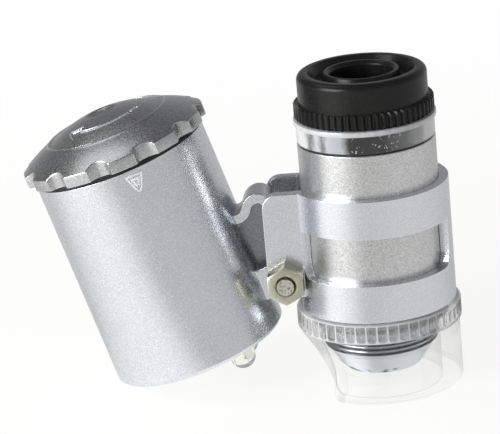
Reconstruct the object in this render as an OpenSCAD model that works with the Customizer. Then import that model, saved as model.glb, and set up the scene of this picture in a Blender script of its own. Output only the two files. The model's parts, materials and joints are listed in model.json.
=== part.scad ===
// Folding pocket microscope: an upright optical tube in a hinge bracket, with a battery lamp beside it.
// Frame: Z is the optical axis, z = 0 is the table under the clear base, and the lamp lies toward -X.
// Lengths are millimetres and angles are degrees.

/* [Barrel] */
// Outer diameter of the silver barrel
barrel_d = 16.1; // [15.4:0.1:17]
// Wall of the barrel
barrel_wall = 0.6; // [0.5:0.05:0.75]
// Height of the barrel's lower end above the table
barrel_z = 8.6; // [8.4:0.1:9]
// Length of the barrel
barrel_h = 21.25; // [19:0.25:24]

/* [Hinge bracket] */
// Wall of the bracket's band
band_wall = 1.13; // [0.9:0.01:1.2]
// Gap between the base's knurled ring and the band
band_lift = 0.2; // [0.15:0.05:0.6]
// Height of the band
band_h = 14.65; // [13:0.25:16]
// Height of the window's sill above the band's lower edge
window_sill = 4.5; // [4:0.1:5.5]
// Height of the window in the band
window_h = 5.6; // [4:0.1:6]
// Radius of the window's lower corners
window_corner_r = 1.5; // [0.5:0.1:2]
// Angle between the X axis and the window's edge on the lamp side
window_left = 27; // [24:0.5:36]
// Angle between the X axis and the window's edge on the far side
window_right = 17; // [12:0.5:30]
// Clear width between the two lugs
lug_gap = 5.8; // [5.2:0.1:6.4]
// Thickness of each lug
lug_t = 1.3; // [1:0.1:1.6]
// Radius of a lug's rounded lower end
lug_tip_r = 2.2; // [2:0.05:2.25]
// Radius of a lug's upper corner
lug_corner_r = 1.8; // [1:0.1:2.1]

/* [Hinge] */
// Clearance between the hinge nut and the band
nut_clear = 0.065; // [0.05:0.005:0.3]
// Height of the hinge pin above the band's lower edge
pin_rise = 4.15; // [3.6:0.05:4.6]
// Diameter of the hinge bolt
bolt_d = 2; // [1.6:0.1:2.4]
// Width of the hinge nut across its flats
nut_af = 4.1; // [3.6:0.1:4.4]
// Thickness of the hinge nut
nut_h = 2.3; // [1.6:0.1:2.6]
// Diameter of the bolt's head
bolt_head_d = 3.9; // [3.4:0.1:4.2]
// Height of the bolt's head
bolt_head_h = 1.5; // [1.2:0.1:2]
// Length of thread that stands out of the nut
bolt_tail = 0.25; // [0.1:0.05:0.6]

/* [Lamp] */
// Angle between the lamp and the optical tube at rest
lamp_open = 16.9; // [0:0.1:22]
// Outer diameter of the lamp at its upper rim
lamp_d = 20.7; // [19.8:0.1:21]
// Growth of the lamp's radius from its upper to its lower rim
lamp_draft = 0.13; // [0.05:0.01:0.2]
// Length of the lamp's housing
lamp_h = 25.7; // [25.2:0.1:28]
// Wall of the lamp's housing
lamp_wall = 1.2; // [1:0.05:1.4]
// Clearance between the folded lamp's side and the hinge lugs
lamp_clear = 1.2; // [0.9:0.05:1.4]
// Height of the hinge pin above the lamp's lower rim
lamp_pin_rise = 5.4; // [5:0.1:5.8]
// Radius of the lamp ear's rounded end
ear_r = 2.1; // [1.9:0.05:2.15]
// Height of the ear's root on the lamp above and below the pin
ear_root = 1.9; // [1.6:0.1:2.1]
// Chamfer on the lamp's rims
rim_chamfer = 0.3; // [0.1:0.05:0.4]
// Width of the arrow mark under the lamp's upper rim
mark_w = 2.1; // [1.5:0.1:2.6]
// Height by which the arrow mark stands out
mark_relief = 0.2; // [0.1:0.02:0.24]
// Distance from the arrow mark to the lamp's upper rim
mark_drop = 0.7; // [0.5:0.1:2]
// Angle round the lamp from its front to the arrow mark, toward the tube
mark_turn = 15.5; // [0:0.5:25]

/* [Hook] */
// Width of the latch hook
hook_w = 4.4; // [3.6:0.1:5]
// Thickness of the latch hook
hook_t = 1.25; // [0.9:0.05:1.4]
// Height of the hook's root above the lamp's lower rim
hook_z = 13.8; // [13.2:0.1:14.2]
// Height of the hook's step
hook_step = 1.6; // [1.2:0.1:1.8]
// Radius of the curl at the hook's tip, to the middle of its thickness
hook_curl_r = 1.08; // [0.8:0.02:1.2]
// Length of the straight end after the curl
hook_end = 0.25; // [0.1:0.05:0.5]
// Depth by which the hook and the ear are sunk in the lamp's wall
root_sink = 0.9; // [0.6:0.05:0.95]
// Distance from the pin to the hook's tip, toward the tube
hook_reach = 1.5; // [1.3:0.05:1.7]
// Thickness of the web between the hook and the ear
web_t = 2; // [1.5:0.1:3]

/* [Lamp faceplate and lights] */
// Depth from the lamp's lower rim to its faceplate
face_recess = 0.8; // [0.4:0.1:1]
// Thickness of the faceplate
face_t = 1.2; // [0.8:0.1:1.5]
// Diameter of each light
led_d = 3; // [2.8:0.1:3.2]
// Length by which the lights stand out below the lamp
led_out = 3.6; // [2.4:0.1:3.8]
// Distance from the lamp's axis to the lights, toward the tube
led_x = 4.7; // [3:0.1:5]
// Distance between the two lights
led_pitch = 4.6; // [4.2:0.1:5.4]
// Thickness of the circuit board
board_t = 1; // [0.8:0.1:1.2]
// Thickness of the flange at the root of each light
led_flange_t = 1; // [0.8:0.1:1.2]
// Width of the flange round each light
led_flange_w = 0.35; // [0.2:0.05:0.5]

/* [Batteries] */
// Diameter of one button cell
cell_d = 11.6; // [11:0.1:12]
// Thickness of one button cell
cell_h = 5.4; // [5:0.1:5.5]
// Number of button cells
cells = 3; // [3]
// Height of the compressed battery spring
spring_h = 3.3; // [3:0.1:3.4]
// Diameter of the battery spring's wire
spring_wire = 0.5; // [0.4:0.05:0.6]

/* [Battery cap] */
// Outer diameter of the battery cap
cap_d = 22.4; // [22:0.1:23]
// Height of the cap's scalloped rim
rim_h = 1.4; // [1.2:0.05:1.8]
// Rise of the cap's cone from its rim to the outlined disc
cone_h = 1.9; // [1.6:0.05:2.2]
// Rise of the disc's middle above its outline
dome_h = 1.5; // [1.2:0.05:1.8]
// Number of scallops round the cap
scallops = 12; // [8:1:16]
// Radius of one scallop
scallop_r = 1.55; // [1.2:0.05:1.8]
// Depth of one scallop
scallop_depth = 0.85; // [0.5:0.05:1]
// Angle from the cap's front to the middle of its nearest lobe
cap_phase = 12; // [0:1:20]
// Diameter of the outlined disc on the cap
disc_d = 14.2; // [12:0.1:15]
// Diameter of the dimple in the cap's middle
dimple_d = 4; // [3:0.1:5]
// Thickness of the gasket under the cap
gasket_t = 0.5; // [0.4:0.05:0.8]
// Length of the cap's threaded skirt
cap_skirt_h = 3; // [2.6:0.1:3]
// Wall of the cap's threaded skirt
cap_skirt_wall = 1.1; // [0.8:0.05:1.2]
// Height of the hollow under the cap above the gasket's lower face
cap_hollow = 1.5; // [1.2:0.05:1.7]
// Radius of the arrow round the cap's dimple
arrow_r = 4.5; // [4:0.1:5]
// Width of the arrow's line
arrow_w = 0.35; // [0.25:0.05:0.5]
// Depth of the arrow in the cap
arrow_deep = 0.15; // [0.1:0.05:0.3]
// Thickness of the contact's brass
contact_t = 0.3; // [0.2:0.05:0.4]

/* [Eyepiece] */
// Outer diameter of the eyecup
cup_d = 15.1; // [14.6:0.1:15.6]
// Height of the eyecup above its knurled ring
cup_h = 3.4; // [3:0.1:4]
// Diameter of the eyecup's inner edge
cup_recess_d = 12.3; // [11.6:0.1:13]
// Depth of the ring-shaped recess in the eyecup
cup_recess = 1.6; // [1:0.1:2]
// Diameter of the raised ring round the eye hole
hub_d = 8.7; // [8.4:0.1:9.5]
// Diameter of the eye hole
eye_hole_d = 7.3; // [6.5:0.1:7.5]
// Diameter of the eyepiece's knurled ring
knurl_d = 16.3; // [16:0.1:16.6]
// Height of the eyepiece's knurled ring
knurl_h = 1.8; // [1.4:0.1:2.4]
// Number of teeth on the knurled ring
knurl_teeth = 60; // [48:1:72]
// Height of one tooth
tooth_h = 0.28; // [0.2:0.02:0.34]
// Rounding of the eyecup's upper edge
lip_round = 0.5; // [0.2:0.05:0.7]
// Thickness of the shoulder that the eye lens lies against
shoulder_t = 0.5; // [0.4:0.05:0.6]

/* [Focus tube] */
// Height of the clear band that shows above the barrel
clear_band_h = 2.15; // [1.6:0.05:3]
// Thickness of the clear flange under the knurled ring
clear_flange_t = 0.6; // [0.4:0.05:0.8]
// Diameter of the clear flange
clear_flange_d = 16.6; // [16.4:0.1:17]
// Length of the focus tube inside the barrel
focus_engage = 6; // [5:0.25:6.5]
// Wall of the focus tube inside the barrel
focus_wall = 0.75; // [0.65:0.05:0.9]

/* [Lenses] */
// Diameter of the eyepiece's two lenses
eye_lens_d = 9.1; // [8.8:0.1:9.4]
// Thickness of the eye lens
eye_lens_t = 2.2; // [1.8:0.1:2.6]
// Thickness of the field lens
field_lens_t = 1.8; // [1.5:0.1:2]
// Length of the spacer between the eyepiece's lenses
spacer_h = 1.9; // [1.5:0.1:2.2]
// Wall of the spacer and of the ring below the lenses
spacer_wall = 0.7; // [0.5:0.05:0.9]
// Height of the ring that holds the eyepiece's lenses up
eye_retainer_h = 0.8; // [0.6:0.05:1]
// Diameter of the objective lens
objective_d = 7.2; // [6.8:0.1:7.4]
// Thickness of the objective lens
objective_t = 2; // [1.6:0.1:2.2]

/* [Clear base] */
// Outer diameter of the clear skirt
foot_d = 18.8; // [18.4:0.1:19.2]
// Bore of the clear skirt
foot_bore_d = 13.94; // [13.7:0.02:14.1]
// Height of the clear skirt below its knurled ring
foot_h = 7.6; // [7.4:0.1:7.8]
// Diameter of the base's knurled ring
ring_d = 19.35; // [19.1:0.05:19.4]
// Height of the base's knurled ring
ring_h = 2.25; // [2:0.05:2.4]
// Number of flutes round the base's ring
flutes = 48; // [36:1:54]
// Width of one flute
flute_w = 0.92; // [0.7:0.02:1]
// Depth of one flute
flute_depth = 0.32; // [0.2:0.02:0.4]
// Distance from the axis to the skirt's cut on the lamp side
cut_x = 5.8; // [5:0.1:6.4]
// Height where the skirt's cut starts to slope outward
cut_z = 3.8; // [3:0.1:4.4]
// Rounding of the skirt's cut where it starts to slope
cut_corner_r = 1.5; // [0.5:0.1:2]

/* [Objective mount] */
// Diameter of the objective's thread over its ridges
thread_d = 13.4; // [13:0.1:13.5]
// Number of ridges on the thread
thread_ridges = 3; // [2:1:4]
// Depth of the thread
thread_depth = 0.35; // [0.2:0.05:0.5]
// Height of the thread's lower end above the table
thread_z = 4.9; // [4.6:0.1:5.2]
// Length of the thread
thread_h = 1.7; // [1.4:0.1:1.9]
// Diameter of the nose at its wide end
nose_d = 12.4; // [11.8:0.1:12.6]
// Diameter of the nose at its tip
nose_tip_d = 9.6; // [9:0.1:10.2]
// Height of the nose's tip above the table
nose_z = 2.2; // [1.8:0.1:2.6]
// Height of the mount's plug inside the barrel
plug_h = 3.4; // [3:0.1:4]
// Thickness of the lip under the objective lens
lens_lip_t = 0.35; // [0.3:0.05:0.5]
// Width of the lip under the objective lens
lens_lip_w = 0.5; // [0.4:0.05:0.7]
// Height of the ring that holds the objective lens down
objective_ring_h = 1.2; // [0.8:0.1:1.6]
// Wall of the ring that holds the objective lens down
objective_ring_w = 0.7; // [0.5:0.05:0.8]

/* [Baffle] */
// Outer diameter of the black sleeve in the barrel
baffle_d = 10.44; // [10:0.02:10.6]
// Wall of the black sleeve
baffle_wall = 0.8; // [0.6:0.05:1]
// Diameter of the stop at the sleeve's lower end
baffle_stop_d = 5.2; // [4:0.1:6]
// Distance from the sleeve's upper end to the barrel's
baffle_drop = 2.8; // [2.6:0.1:4]

/* [Hidden] */
$fn = 96;
// Overshoot of a cutting shape past the face that it cuts
over = 0.5;
// Radial play of a pin or shaft that turns in its hole
turn_play = 0.05;
// Radial play of a piece that is pushed into another and stays there
push_play = 0.02;
// Radial play of a sliding or screwing sleeve
slide_play = 0.08;
// Gap between two faces of different moving pieces
face_gap = 0.1;

// Heights along the optical axis
ring_top = foot_h + ring_h;
band_z = ring_top + band_lift;
barrel_top = barrel_z + barrel_h;
band_clear = barrel_top + face_gap;
flange_z = band_clear + clear_band_h;
knurl_z = flange_z + clear_flange_t + face_gap;
cup_z = knurl_z + knurl_h;
cup_top = cup_z + cup_h;
socket_z = barrel_z - 0.3;
plug_top = barrel_z + plug_h;

// Heights of the pieces stacked inside the eyepiece, from the eye hole's shoulder down
recess_z = cup_top - cup_recess;
eye_seat_z = recess_z - shoulder_t;
eye_lens_z = eye_seat_z - eye_lens_t;
spacer_z = eye_lens_z - spacer_h;
field_lens_z = spacer_z - field_lens_t;
eye_retainer_z = field_lens_z - eye_retainer_h;
eye_plug_z = eye_retainer_z - face_gap;

// Radii on the optical axis
barrel_r = barrel_d / 2;
barrel_bore_r = barrel_r - barrel_wall;
band_bore_r = barrel_r + push_play;
band_r = band_bore_r + band_wall;
focus_r = barrel_bore_r - slide_play;
focus_bore_r = focus_r - focus_wall;
eye_plug_r = focus_bore_r - slide_play;
lens_seat_r = eye_lens_d / 2 + push_play;
objective_seat_r = objective_d / 2 + push_play;
objective_z = nose_z + lens_lip_t;

// Places of the hinge
pin_z = band_z + pin_rise;
lug_y = lug_gap / 2;
lug_face = lug_y + lug_t;
pin_x = sqrt(band_r * band_r - lug_face * lug_face) + nut_af / 2 + nut_clear;
lug_edge = pin_x + lug_tip_r;
lug_top = band_z + band_h;
// The lamp's side clears the lug's edge where the lug's inner face passes it
lamp_r = lamp_d / 2;
lamp_foot_r = lamp_r + lamp_draft;
lamp_pin = sqrt(lamp_r * lamp_r - lug_y * lug_y) + lug_tip_r + lamp_clear;
lamp_bore_r = lamp_r - lamp_wall;
ear_y = lug_y - face_gap;
// Where the hook's middle line starts to rise, where its curl starts, and its highest level
step_x = lamp_r + turn_play;
curl_x = lamp_pin + hook_reach - hook_t / 2 - hook_curl_r;
hook_top = hook_z + hook_step;

// Heights along the lamp's axis
face_top = face_recess + face_t;
board_z = face_top + led_flange_t;
board_top = board_z + board_t;
cell_z = board_top + spring_h;
cell_top = cell_z + cells * cell_h;
gasket_top = lamp_h + gasket_t;
rim_top = gasket_top + rim_h;
cone_top = rim_top + cone_h;
dome_top = cone_top + dome_h;
cap_ceiling = lamp_h + cap_hollow;
cap_skirt_r = lamp_bore_r - slide_play;
skirt_bottom = lamp_h - cap_skirt_h;
holder_top = skirt_bottom - face_gap;

// Moves a shape from the lamp's own frame to its place beside the tube
module at_lamp() {
    translate([-pin_x, 0, pin_z])
        rotate([0, -lamp_open, 0])
            translate([-lamp_pin, 0, -lamp_pin_rise])
                children();
}

// Extrudes an outline that is drawn in X and Z along Y, from y0 to y1
module along_y(y0, y1) {
    translate([0, y1, 0])
        rotate([90, 0, 0])
            linear_extrude(y1 - y0)
                children();
}

// A ring or tube between two heights
module tube(z0, z1, outer_r, inner_r) {
    difference() {
        translate([0, 0, z0])
            cylinder(h = z1 - z0, r = outer_r);
        translate([0, 0, z0 - over])
            cylinder(h = z1 - z0 + 2 * over, r = inner_r);
    }
}

// A round lens with spherical faces; a bulge of 0 gives a flat face
module lens(z0, r, t, low_bulge, high_bulge) {
    edge_t = t - low_bulge - high_bulge;
    low_r = (r * r + low_bulge * low_bulge) / (2 * low_bulge);
    high_r = (r * r + high_bulge * high_bulge) / (2 * high_bulge);
    intersection() {
        translate([0, 0, z0])
            cylinder(h = t, r = r);
        translate([0, 0, z0 + low_r])
            sphere(r = low_r, $fn = 300);
        translate([0, 0, z0 + low_bulge + edge_t + high_bulge - high_r])
            sphere(r = high_r, $fn = 300);
    }
}

// A toothed disc outline: teeth with straight flanks between a root and a tip radius
module toothed(teeth, tip_r, root_r, land) {
    step = 360 / teeth;
    polygon([for (i = [0 : teeth - 1], c = [[-0.5, 0], [-0.5 + land, 1], [0.5 - land, 1]])
        let (a = (i + c[0]) * step, r = c[1] == 1 ? tip_r : root_r)
            [r * cos(a), r * sin(a)]]);
}

// Direction, seen from centre c, of the point where a line from p touches a circle of radius r
function tangent_angle(p, c, r, side) =
    let (d = p - c)
    atan2(d[1], d[0]) + side * acos(r / norm(d));

// A point at an angle on a circle
function on_circle(c, r, a) = c + r * [cos(a), sin(a)];

// Bracket: a band round the barrel, split on the lamp side between two lugs, with a window in front

// All that lies on the window's side of one of its two radial edges, with the round lower corner
module window_side(edge_angle, turn) {
    reach = 2 * band_r;
    rotate([0, 0, edge_angle])
        rotate([90, 0, turn])
            linear_extrude(2 * reach, center = true) {
                translate([0, window_corner_r])
                    square([reach, window_h - window_corner_r]);
                translate([window_corner_r, 0])
                    square([reach - window_corner_r, window_h]);
                translate([window_corner_r, window_corner_r])
                    circle(r = window_corner_r);
            }
}

// The window: a wedge in front of the axis, between two radial edges
module window() {
    translate([0, 0, band_z + window_sill])
        intersection() {
            window_side(-window_right, -90);
            window_side(180 + window_left, 90);
        }
}

// One lug's outline: round under the pin, with a round upper corner
module lug_outline() {
    root = -band_bore_r * cos(asin(lug_face / band_bore_r)) - push_play;
    translate([-pin_x, pin_z])
        circle(r = lug_tip_r);
    translate([-lug_edge, pin_z])
        square([lug_edge + root, lug_top - lug_corner_r - pin_z]);
    translate([-pin_x, pin_z - lug_tip_r])
        square([pin_x + root, lug_tip_r + over]);
    translate([lug_corner_r - lug_edge, pin_z])
        square([lug_edge + root - lug_corner_r, lug_top - pin_z]);
    translate([lug_corner_r - lug_edge, lug_top - lug_corner_r])
        circle(r = lug_corner_r);
}

module bracket() {
    pin_hole_r = bolt_d / 2 + turn_play;
    split_x = barrel_r * 0.6;
    color([0.78, 0.80, 0.83])
        difference() {
            union() {
                translate([0, 0, band_z])
                    cylinder(h = band_h, r = band_r);
                for (side = [-1, 1])
                    along_y(min(side * lug_y, side * lug_face), max(side * lug_y, side * lug_face))
                        lug_outline();
            }
            translate([0, 0, band_z - over])
                cylinder(h = band_h + 2 * over, r = band_bore_r);
            translate([-lug_edge - over, -lug_y, band_z - over])
                cube([lug_edge + over - split_x, lug_gap, band_h + 2 * over]);
            window();
            translate([-pin_x, lug_face + over, pin_z])
                rotate([90, 0, 0])
                    cylinder(h = 2 * (lug_face + over), r = pin_hole_r);
        }
}

// Barrel: the silver tube that everything else on the axis is held by
module barrel() {
    edge = 0.2;
    color([0.70, 0.69, 0.67])
        rotate_extrude()
            polygon([
                [barrel_bore_r, barrel_z],
                [barrel_r - edge, barrel_z],
                [barrel_r, barrel_z + edge],
                [barrel_r, barrel_top - edge],
                [barrel_r - edge, barrel_top],
                [barrel_bore_r, barrel_top]]);
}

// Objective mount: a plug in the barrel, a smooth collar that the base turns on, a ridged neck and a nose
module objective_mount() {
    plug_r = barrel_bore_r - push_play;
    shoulder_r = barrel_r - turn_play;
    shoulder_z = socket_z + face_gap;
    collar_r = foot_bore_d / 2 - turn_play;
    thread_r = thread_d / 2;
    thread_root = thread_r - thread_depth;
    neck_top = thread_z + thread_h;
    pitch = thread_h / thread_ridges;
    lip_r = objective_seat_r - lens_lip_w;
    tip_chamfer = 0.3;
    color([0.80, 0.81, 0.83])
        difference() {
            rotate_extrude()
                polygon(concat(
                    [[0, plug_top], [plug_r, plug_top], [plug_r, barrel_z], [shoulder_r, barrel_z],
                        [shoulder_r, shoulder_z], [collar_r, shoulder_z], [collar_r, neck_top]],
                    [for (i = [0 : thread_ridges - 1], c = [[0, 0], [0.3, 1], [0.6, 1], [0.9, 0]])
                        [c[1] == 1 ? thread_r : thread_root, neck_top - (i + c[0]) * pitch]],
                    [[thread_root, thread_z], [nose_d / 2, thread_z],
                        [nose_tip_d / 2, nose_z + tip_chamfer], [nose_tip_d / 2 - tip_chamfer, nose_z],
                        [0, nose_z]]));
            translate([0, 0, nose_z - over])
                cylinder(h = plug_top - nose_z + 2 * over, r = lip_r);
            translate([0, 0, objective_z])
                cylinder(h = plug_top - objective_z + over, r = objective_seat_r);
        }
}

// Objective lens: the small strong lens in the nose
module objective_lens() {
    bulge = objective_t * 0.275;
    color([0.85, 0.90, 0.95, 0.4])
        lens(objective_z, objective_d / 2, objective_t, bulge, bulge);
}

// Objective retainer: the ring that holds the objective lens down on its lip
module objective_retainer() {
    z0 = objective_z + objective_t;
    outer_r = objective_d / 2;
    color([0.10, 0.10, 0.11])
        tube(z0, z0 + objective_ring_h, outer_r, outer_r - objective_ring_w);
}

// Baffle tube: the matt black sleeve that keeps stray light off the barrel's wall
module baffle_tube() {
    foot_t = 1;
    sleeve_r = baffle_d / 2;
    sleeve_top = barrel_top - baffle_drop;
    color([0.07, 0.07, 0.08])
        difference() {
            union() {
                translate([0, 0, plug_top])
                    cylinder(h = foot_t, r = barrel_bore_r - push_play);
                translate([0, 0, plug_top])
                    cylinder(h = sleeve_top - plug_top, r = sleeve_r);
            }
            translate([0, 0, plug_top + foot_t])
                cylinder(h = sleeve_top - plug_top, r = sleeve_r - baffle_wall);
            translate([0, 0, plug_top - over])
                cylinder(h = foot_t + 2 * over, d = baffle_stop_d);
        }
}

// Hinge bolt: its head is behind the rear lug and its thread ends in the nut in front
module hinge_bolt() {
    head_edge = 0.3;
    head_r = bolt_head_d / 2;
    slot_w = 0.6;
    slot_deep = 0.6;
    length = 2 * lug_face + nut_h + bolt_tail;
    color([0.72, 0.72, 0.70])
        translate([-pin_x, lug_face, pin_z])
            rotate([90, 0, 0])
                difference() {
                    union() {
                        cylinder(h = length, d = bolt_d);
                        translate([0, 0, -bolt_head_h])
                            rotate_extrude()
                                polygon([[0, 0], [head_r - head_edge, 0], [head_r, head_edge],
                                    [head_r, bolt_head_h], [0, bolt_head_h]]);
                    }
                    translate([-bolt_head_d, -slot_w / 2, -bolt_head_h - over])
                        cube([2 * bolt_head_d, slot_w, slot_deep + over]);
                }
}

// Hinge nut: a hexagon with two upright flats, chamfered where its corners meet the front face
module hinge_nut() {
    corner_r = nut_af / (2 * cos(30));
    chamfer = 0.3;
    hole_r = bolt_d / 2 + push_play;
    color([0.74, 0.72, 0.62])
        translate([-pin_x, -lug_face, pin_z])
            rotate([90, 0, 0])
                difference() {
                    intersection() {
                        rotate([0, 0, 30])
                            cylinder(h = nut_h, r = corner_r, $fn = 6);
                        rotate_extrude()
                            polygon([[0, 0], [corner_r, 0], [corner_r, nut_h - chamfer],
                                [corner_r - 2 * chamfer, nut_h], [0, nut_h]]);
                    }
                    translate([0, 0, -over])
                        cylinder(h = nut_h + 2 * over, r = hole_r);
                }
}

// Focus tube: clear, slides in the barrel and shows as a band under the eyepiece
module focus_tube() {
    color([0.88, 0.90, 0.92, 0.45])
        rotate_extrude()
            polygon([
                [focus_bore_r, barrel_top - focus_engage],
                [focus_r, barrel_top - focus_engage],
                [focus_r, band_clear],
                [barrel_r, band_clear],
                [barrel_r, flange_z],
                [clear_flange_d / 2, flange_z],
                [clear_flange_d / 2, flange_z + clear_flange_t],
                [focus_bore_r, flange_z + clear_flange_t]]);
}

// Eyepiece cap: knurled ring, eyecup with a ring-shaped recess, and a plug that holds the lenses
module eyepiece_cap() {
    cup_r = cup_d / 2;
    core_play = 0.05;
    hub_round = 0.25;
    knurl_edge = 0.15;
    tooth_land = 0.28;
    color([0.09, 0.09, 0.10])
        difference() {
            union() {
                rotate_extrude()
                    difference() {
                        union() {
                            translate([0, eye_plug_z])
                                square([eye_plug_r, cup_top - eye_plug_z - lip_round]);
                            translate([0, knurl_z])
                                square([cup_r, cup_top - lip_round - knurl_z]);
                            translate([0, knurl_z])
                                square([cup_r - lip_round, cup_top - knurl_z]);
                            translate([cup_r - lip_round, cup_top - lip_round])
                                circle(r = lip_round);
                        }
                        translate([hub_d / 2, recess_z])
                            square([(cup_recess_d - hub_d) / 2, cup_recess + over]);
                    }
                translate([0, 0, knurl_z + knurl_edge])
                    linear_extrude(knurl_h - 2 * knurl_edge)
                        toothed(knurl_teeth, knurl_d / 2, knurl_d / 2 - tooth_h, tooth_land);
                translate([0, 0, knurl_z])
                    cylinder(h = knurl_h, r = knurl_d / 2 - tooth_h - core_play);
            }
            translate([0, 0, eye_seat_z - over])
                cylinder(h = cup_top, d = eye_hole_d);
            translate([0, 0, eye_plug_z - over])
                cylinder(h = eye_seat_z - eye_plug_z + over, r = lens_seat_r);
            translate([0, 0, cup_top - hub_round])
                cylinder(h = hub_round + over, r1 = eye_hole_d / 2, r2 = eye_hole_d / 2 + 2 * hub_round);
        }
}

// Eye lens: the upper lens, seen through the eye hole
module eye_lens() {
    color([0.80, 0.88, 0.95, 0.4])
        lens(eye_lens_z, eye_lens_d / 2, eye_lens_t, eye_lens_t * 0.1, eye_lens_t * 0.36);
}

// Lens spacer: the sleeve that keeps the two eyepiece lenses apart
module lens_spacer() {
    color([0.08, 0.08, 0.09])
        tube(spacer_z, spacer_z + spacer_h, eye_lens_d / 2, eye_lens_d / 2 - spacer_wall);
}

// Field lens: the lower lens of the eyepiece
module field_lens() {
    color([0.80, 0.88, 0.95, 0.4])
        lens(field_lens_z, eye_lens_d / 2, field_lens_t, field_lens_t * 0.33, field_lens_t * 0.11);
}

// Eyepiece retainer: the ring that closes the lens chamber from below
module eyepiece_retainer() {
    color([0.08, 0.08, 0.09])
        tube(eye_retainer_z, field_lens_z, eye_lens_d / 2, eye_lens_d / 2 - spacer_wall);
}

// Clear base: a fluted ring on the neck with a thick skirt, cut away where the lamp shines in
module clear_base() {
    flute_r = flute_w * 0.55;
    flute_x = ring_d / 2 - flute_depth + flute_r;
    flute_margin = 0.3;
    edge = 0.3;
    ring_edge = 0.22;
    far = foot_d;
    socket_r = barrel_r + 2 * turn_play;
    ledge_z = foot_h - 0.2;
    slope_a = atan2(ledge_z - cut_z, cut_x - ring_d / 2);
    corner = [-cut_x, cut_z] - cut_corner_r * [1, tan(slope_a / 2 - 45)];
    steps = 8;
    color([0.90, 0.92, 0.93, 0.4])
        difference() {
            rotate_extrude()
                polygon([
                    [foot_bore_d / 2, 0],
                    [foot_d / 2 - edge, 0],
                    [foot_d / 2, edge],
                    [foot_d / 2, foot_h],
                    [ring_d / 2, foot_h],
                    [ring_d / 2, ring_top - ring_edge],
                    [ring_d / 2 - ring_edge, ring_top],
                    [socket_r, ring_top],
                    [socket_r, socket_z],
                    [foot_bore_d / 2, socket_z]]);
            for (i = [0 : flutes - 1])
                rotate([0, 0, (i + 0.5) * 360 / flutes])
                    translate([flute_x, 0, foot_h + flute_margin])
                        cylinder(h = ring_h - 2 * flute_margin, r = flute_r, $fn = 24);
            along_y(-far, far)
                polygon(concat(
                    [[-ring_d / 2, ledge_z], [-far, ledge_z], [-far, -over], [-cut_x, -over]],
                    [for (i = [0 : steps])
                        on_circle(corner, cut_corner_r, (slope_a - 90) * i / steps)]));
        }
}

// Lamp housing: an open tube with the hinge ear, the latch hook on its web and a raised arrow mark

// The hook's outline: a level root, a step up of two equal arcs, and a curl down at the tip
module hook_outline() {
    half = hook_t / 2;
    run = curl_x - step_x;
    step_r = (run * run + hook_step * hook_step) / (4 * hook_step);
    step_a = 2 * atan(hook_step / run);
    steps = 6;
    line = concat(
        [[lamp_r - root_sink, hook_z]],
        [for (i = [0 : steps]) on_circle([step_x, hook_z + step_r], step_r, step_a * i / steps - 90)],
        [for (i = [1 : steps])
            on_circle([curl_x, hook_top - step_r], step_r, 90 + step_a * (1 - i / steps))],
        [for (i = [1 : steps]) on_circle([curl_x, hook_top - hook_curl_r], hook_curl_r, 90 - 90 * i / steps)],
        [[curl_x + hook_curl_r, hook_top - hook_curl_r - hook_end]]);
    last = len(line) - 1;
    normals = [for (i = [0 : last])
        let (a = line[max(i - 1, 0)], b = line[min(i + 1, last)], d = (b - a) / norm(b - a)) [-d[1], d[0]]];
    polygon(concat(
        [for (i = [0 : last]) line[i] + half * normals[i]],
        [for (i = [last : -1 : 0]) line[i] - half * normals[i]]));
}

// The web's outline: it fills the corner between the lamp's side, the hook's middle line and the ear
module web_outline() {
    root_x = lamp_r - root_sink;
    web_ear_r = ear_r - push_play;
    polygon([
        [root_x, lamp_pin_rise],
        [root_x, hook_z],
        [step_x, hook_z],
        [curl_x, hook_top],
        on_circle([curl_x, hook_top - hook_curl_r], hook_curl_r, 45),
        on_circle([lamp_pin, lamp_pin_rise], web_ear_r, 180)]);
}

// The ear's outline: a round end on the pin, with straight sides that run into the lamp
module ear_outline() {
    centre = [lamp_pin, lamp_pin_rise];
    root_x = lamp_r - root_sink;
    upper = [root_x, lamp_pin_rise + ear_root];
    lower = [root_x, lamp_pin_rise - ear_root];
    translate(centre)
        circle(r = ear_r);
    polygon([upper, lower,
        on_circle(centre, ear_r, tangent_angle(lower, centre, ear_r, 1)),
        centre,
        on_circle(centre, ear_r, tangent_angle(upper, centre, ear_r, -1))]);
}

// The arrow mark: a hollow triangle that points down, on a tile that follows the lamp's side
module arrow_mark() {
    half = mark_w / 2;
    high = mark_w * 0.94;
    line_w = mark_w * 0.17;
    inset = 2 * line_w;
    sink = lamp_wall / 4;
    top_z = lamp_h - mark_drop;
    rotate([0, 0, mark_turn])
        intersection() {
            tube(top_z - high - over, top_z + over, lamp_r + mark_relief, lamp_r - sink);
            along_y(-lamp_r - over, over - lamp_r)
                difference() {
                    polygon([[-half, top_z], [half, top_z], [0, top_z - high]]);
                    polygon([[inset - half, top_z - line_w], [half - inset, top_z - line_w],
                        [0, top_z - high + inset]]);
                }
        }
}

module lamp_housing() {
    hook_y = hook_w / 2;
    pin_hole_r = bolt_d / 2 + turn_play;
    color([0.70, 0.72, 0.76])
        at_lamp()
            difference() {
                union() {
                    rotate_extrude()
                        polygon([
                            [0, 0],
                            [lamp_foot_r - rim_chamfer, 0],
                            [lamp_foot_r, rim_chamfer],
                            [lamp_r, lamp_h - rim_chamfer],
                            [lamp_r - rim_chamfer, lamp_h],
                            [0, lamp_h]]);
                    along_y(-ear_y, ear_y)
                        ear_outline();
                    along_y(-hook_y, hook_y)
                        hook_outline();
                    along_y(-web_t / 2, web_t / 2)
                        web_outline();
                    arrow_mark();
                }
                translate([0, 0, -over])
                    cylinder(h = lamp_h + 2 * over, r = lamp_bore_r);
                translate([lamp_pin, lug_face, lamp_pin_rise])
                    rotate([90, 0, 0])
                        cylinder(h = 2 * lug_face, r = pin_hole_r);
            }
}

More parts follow.
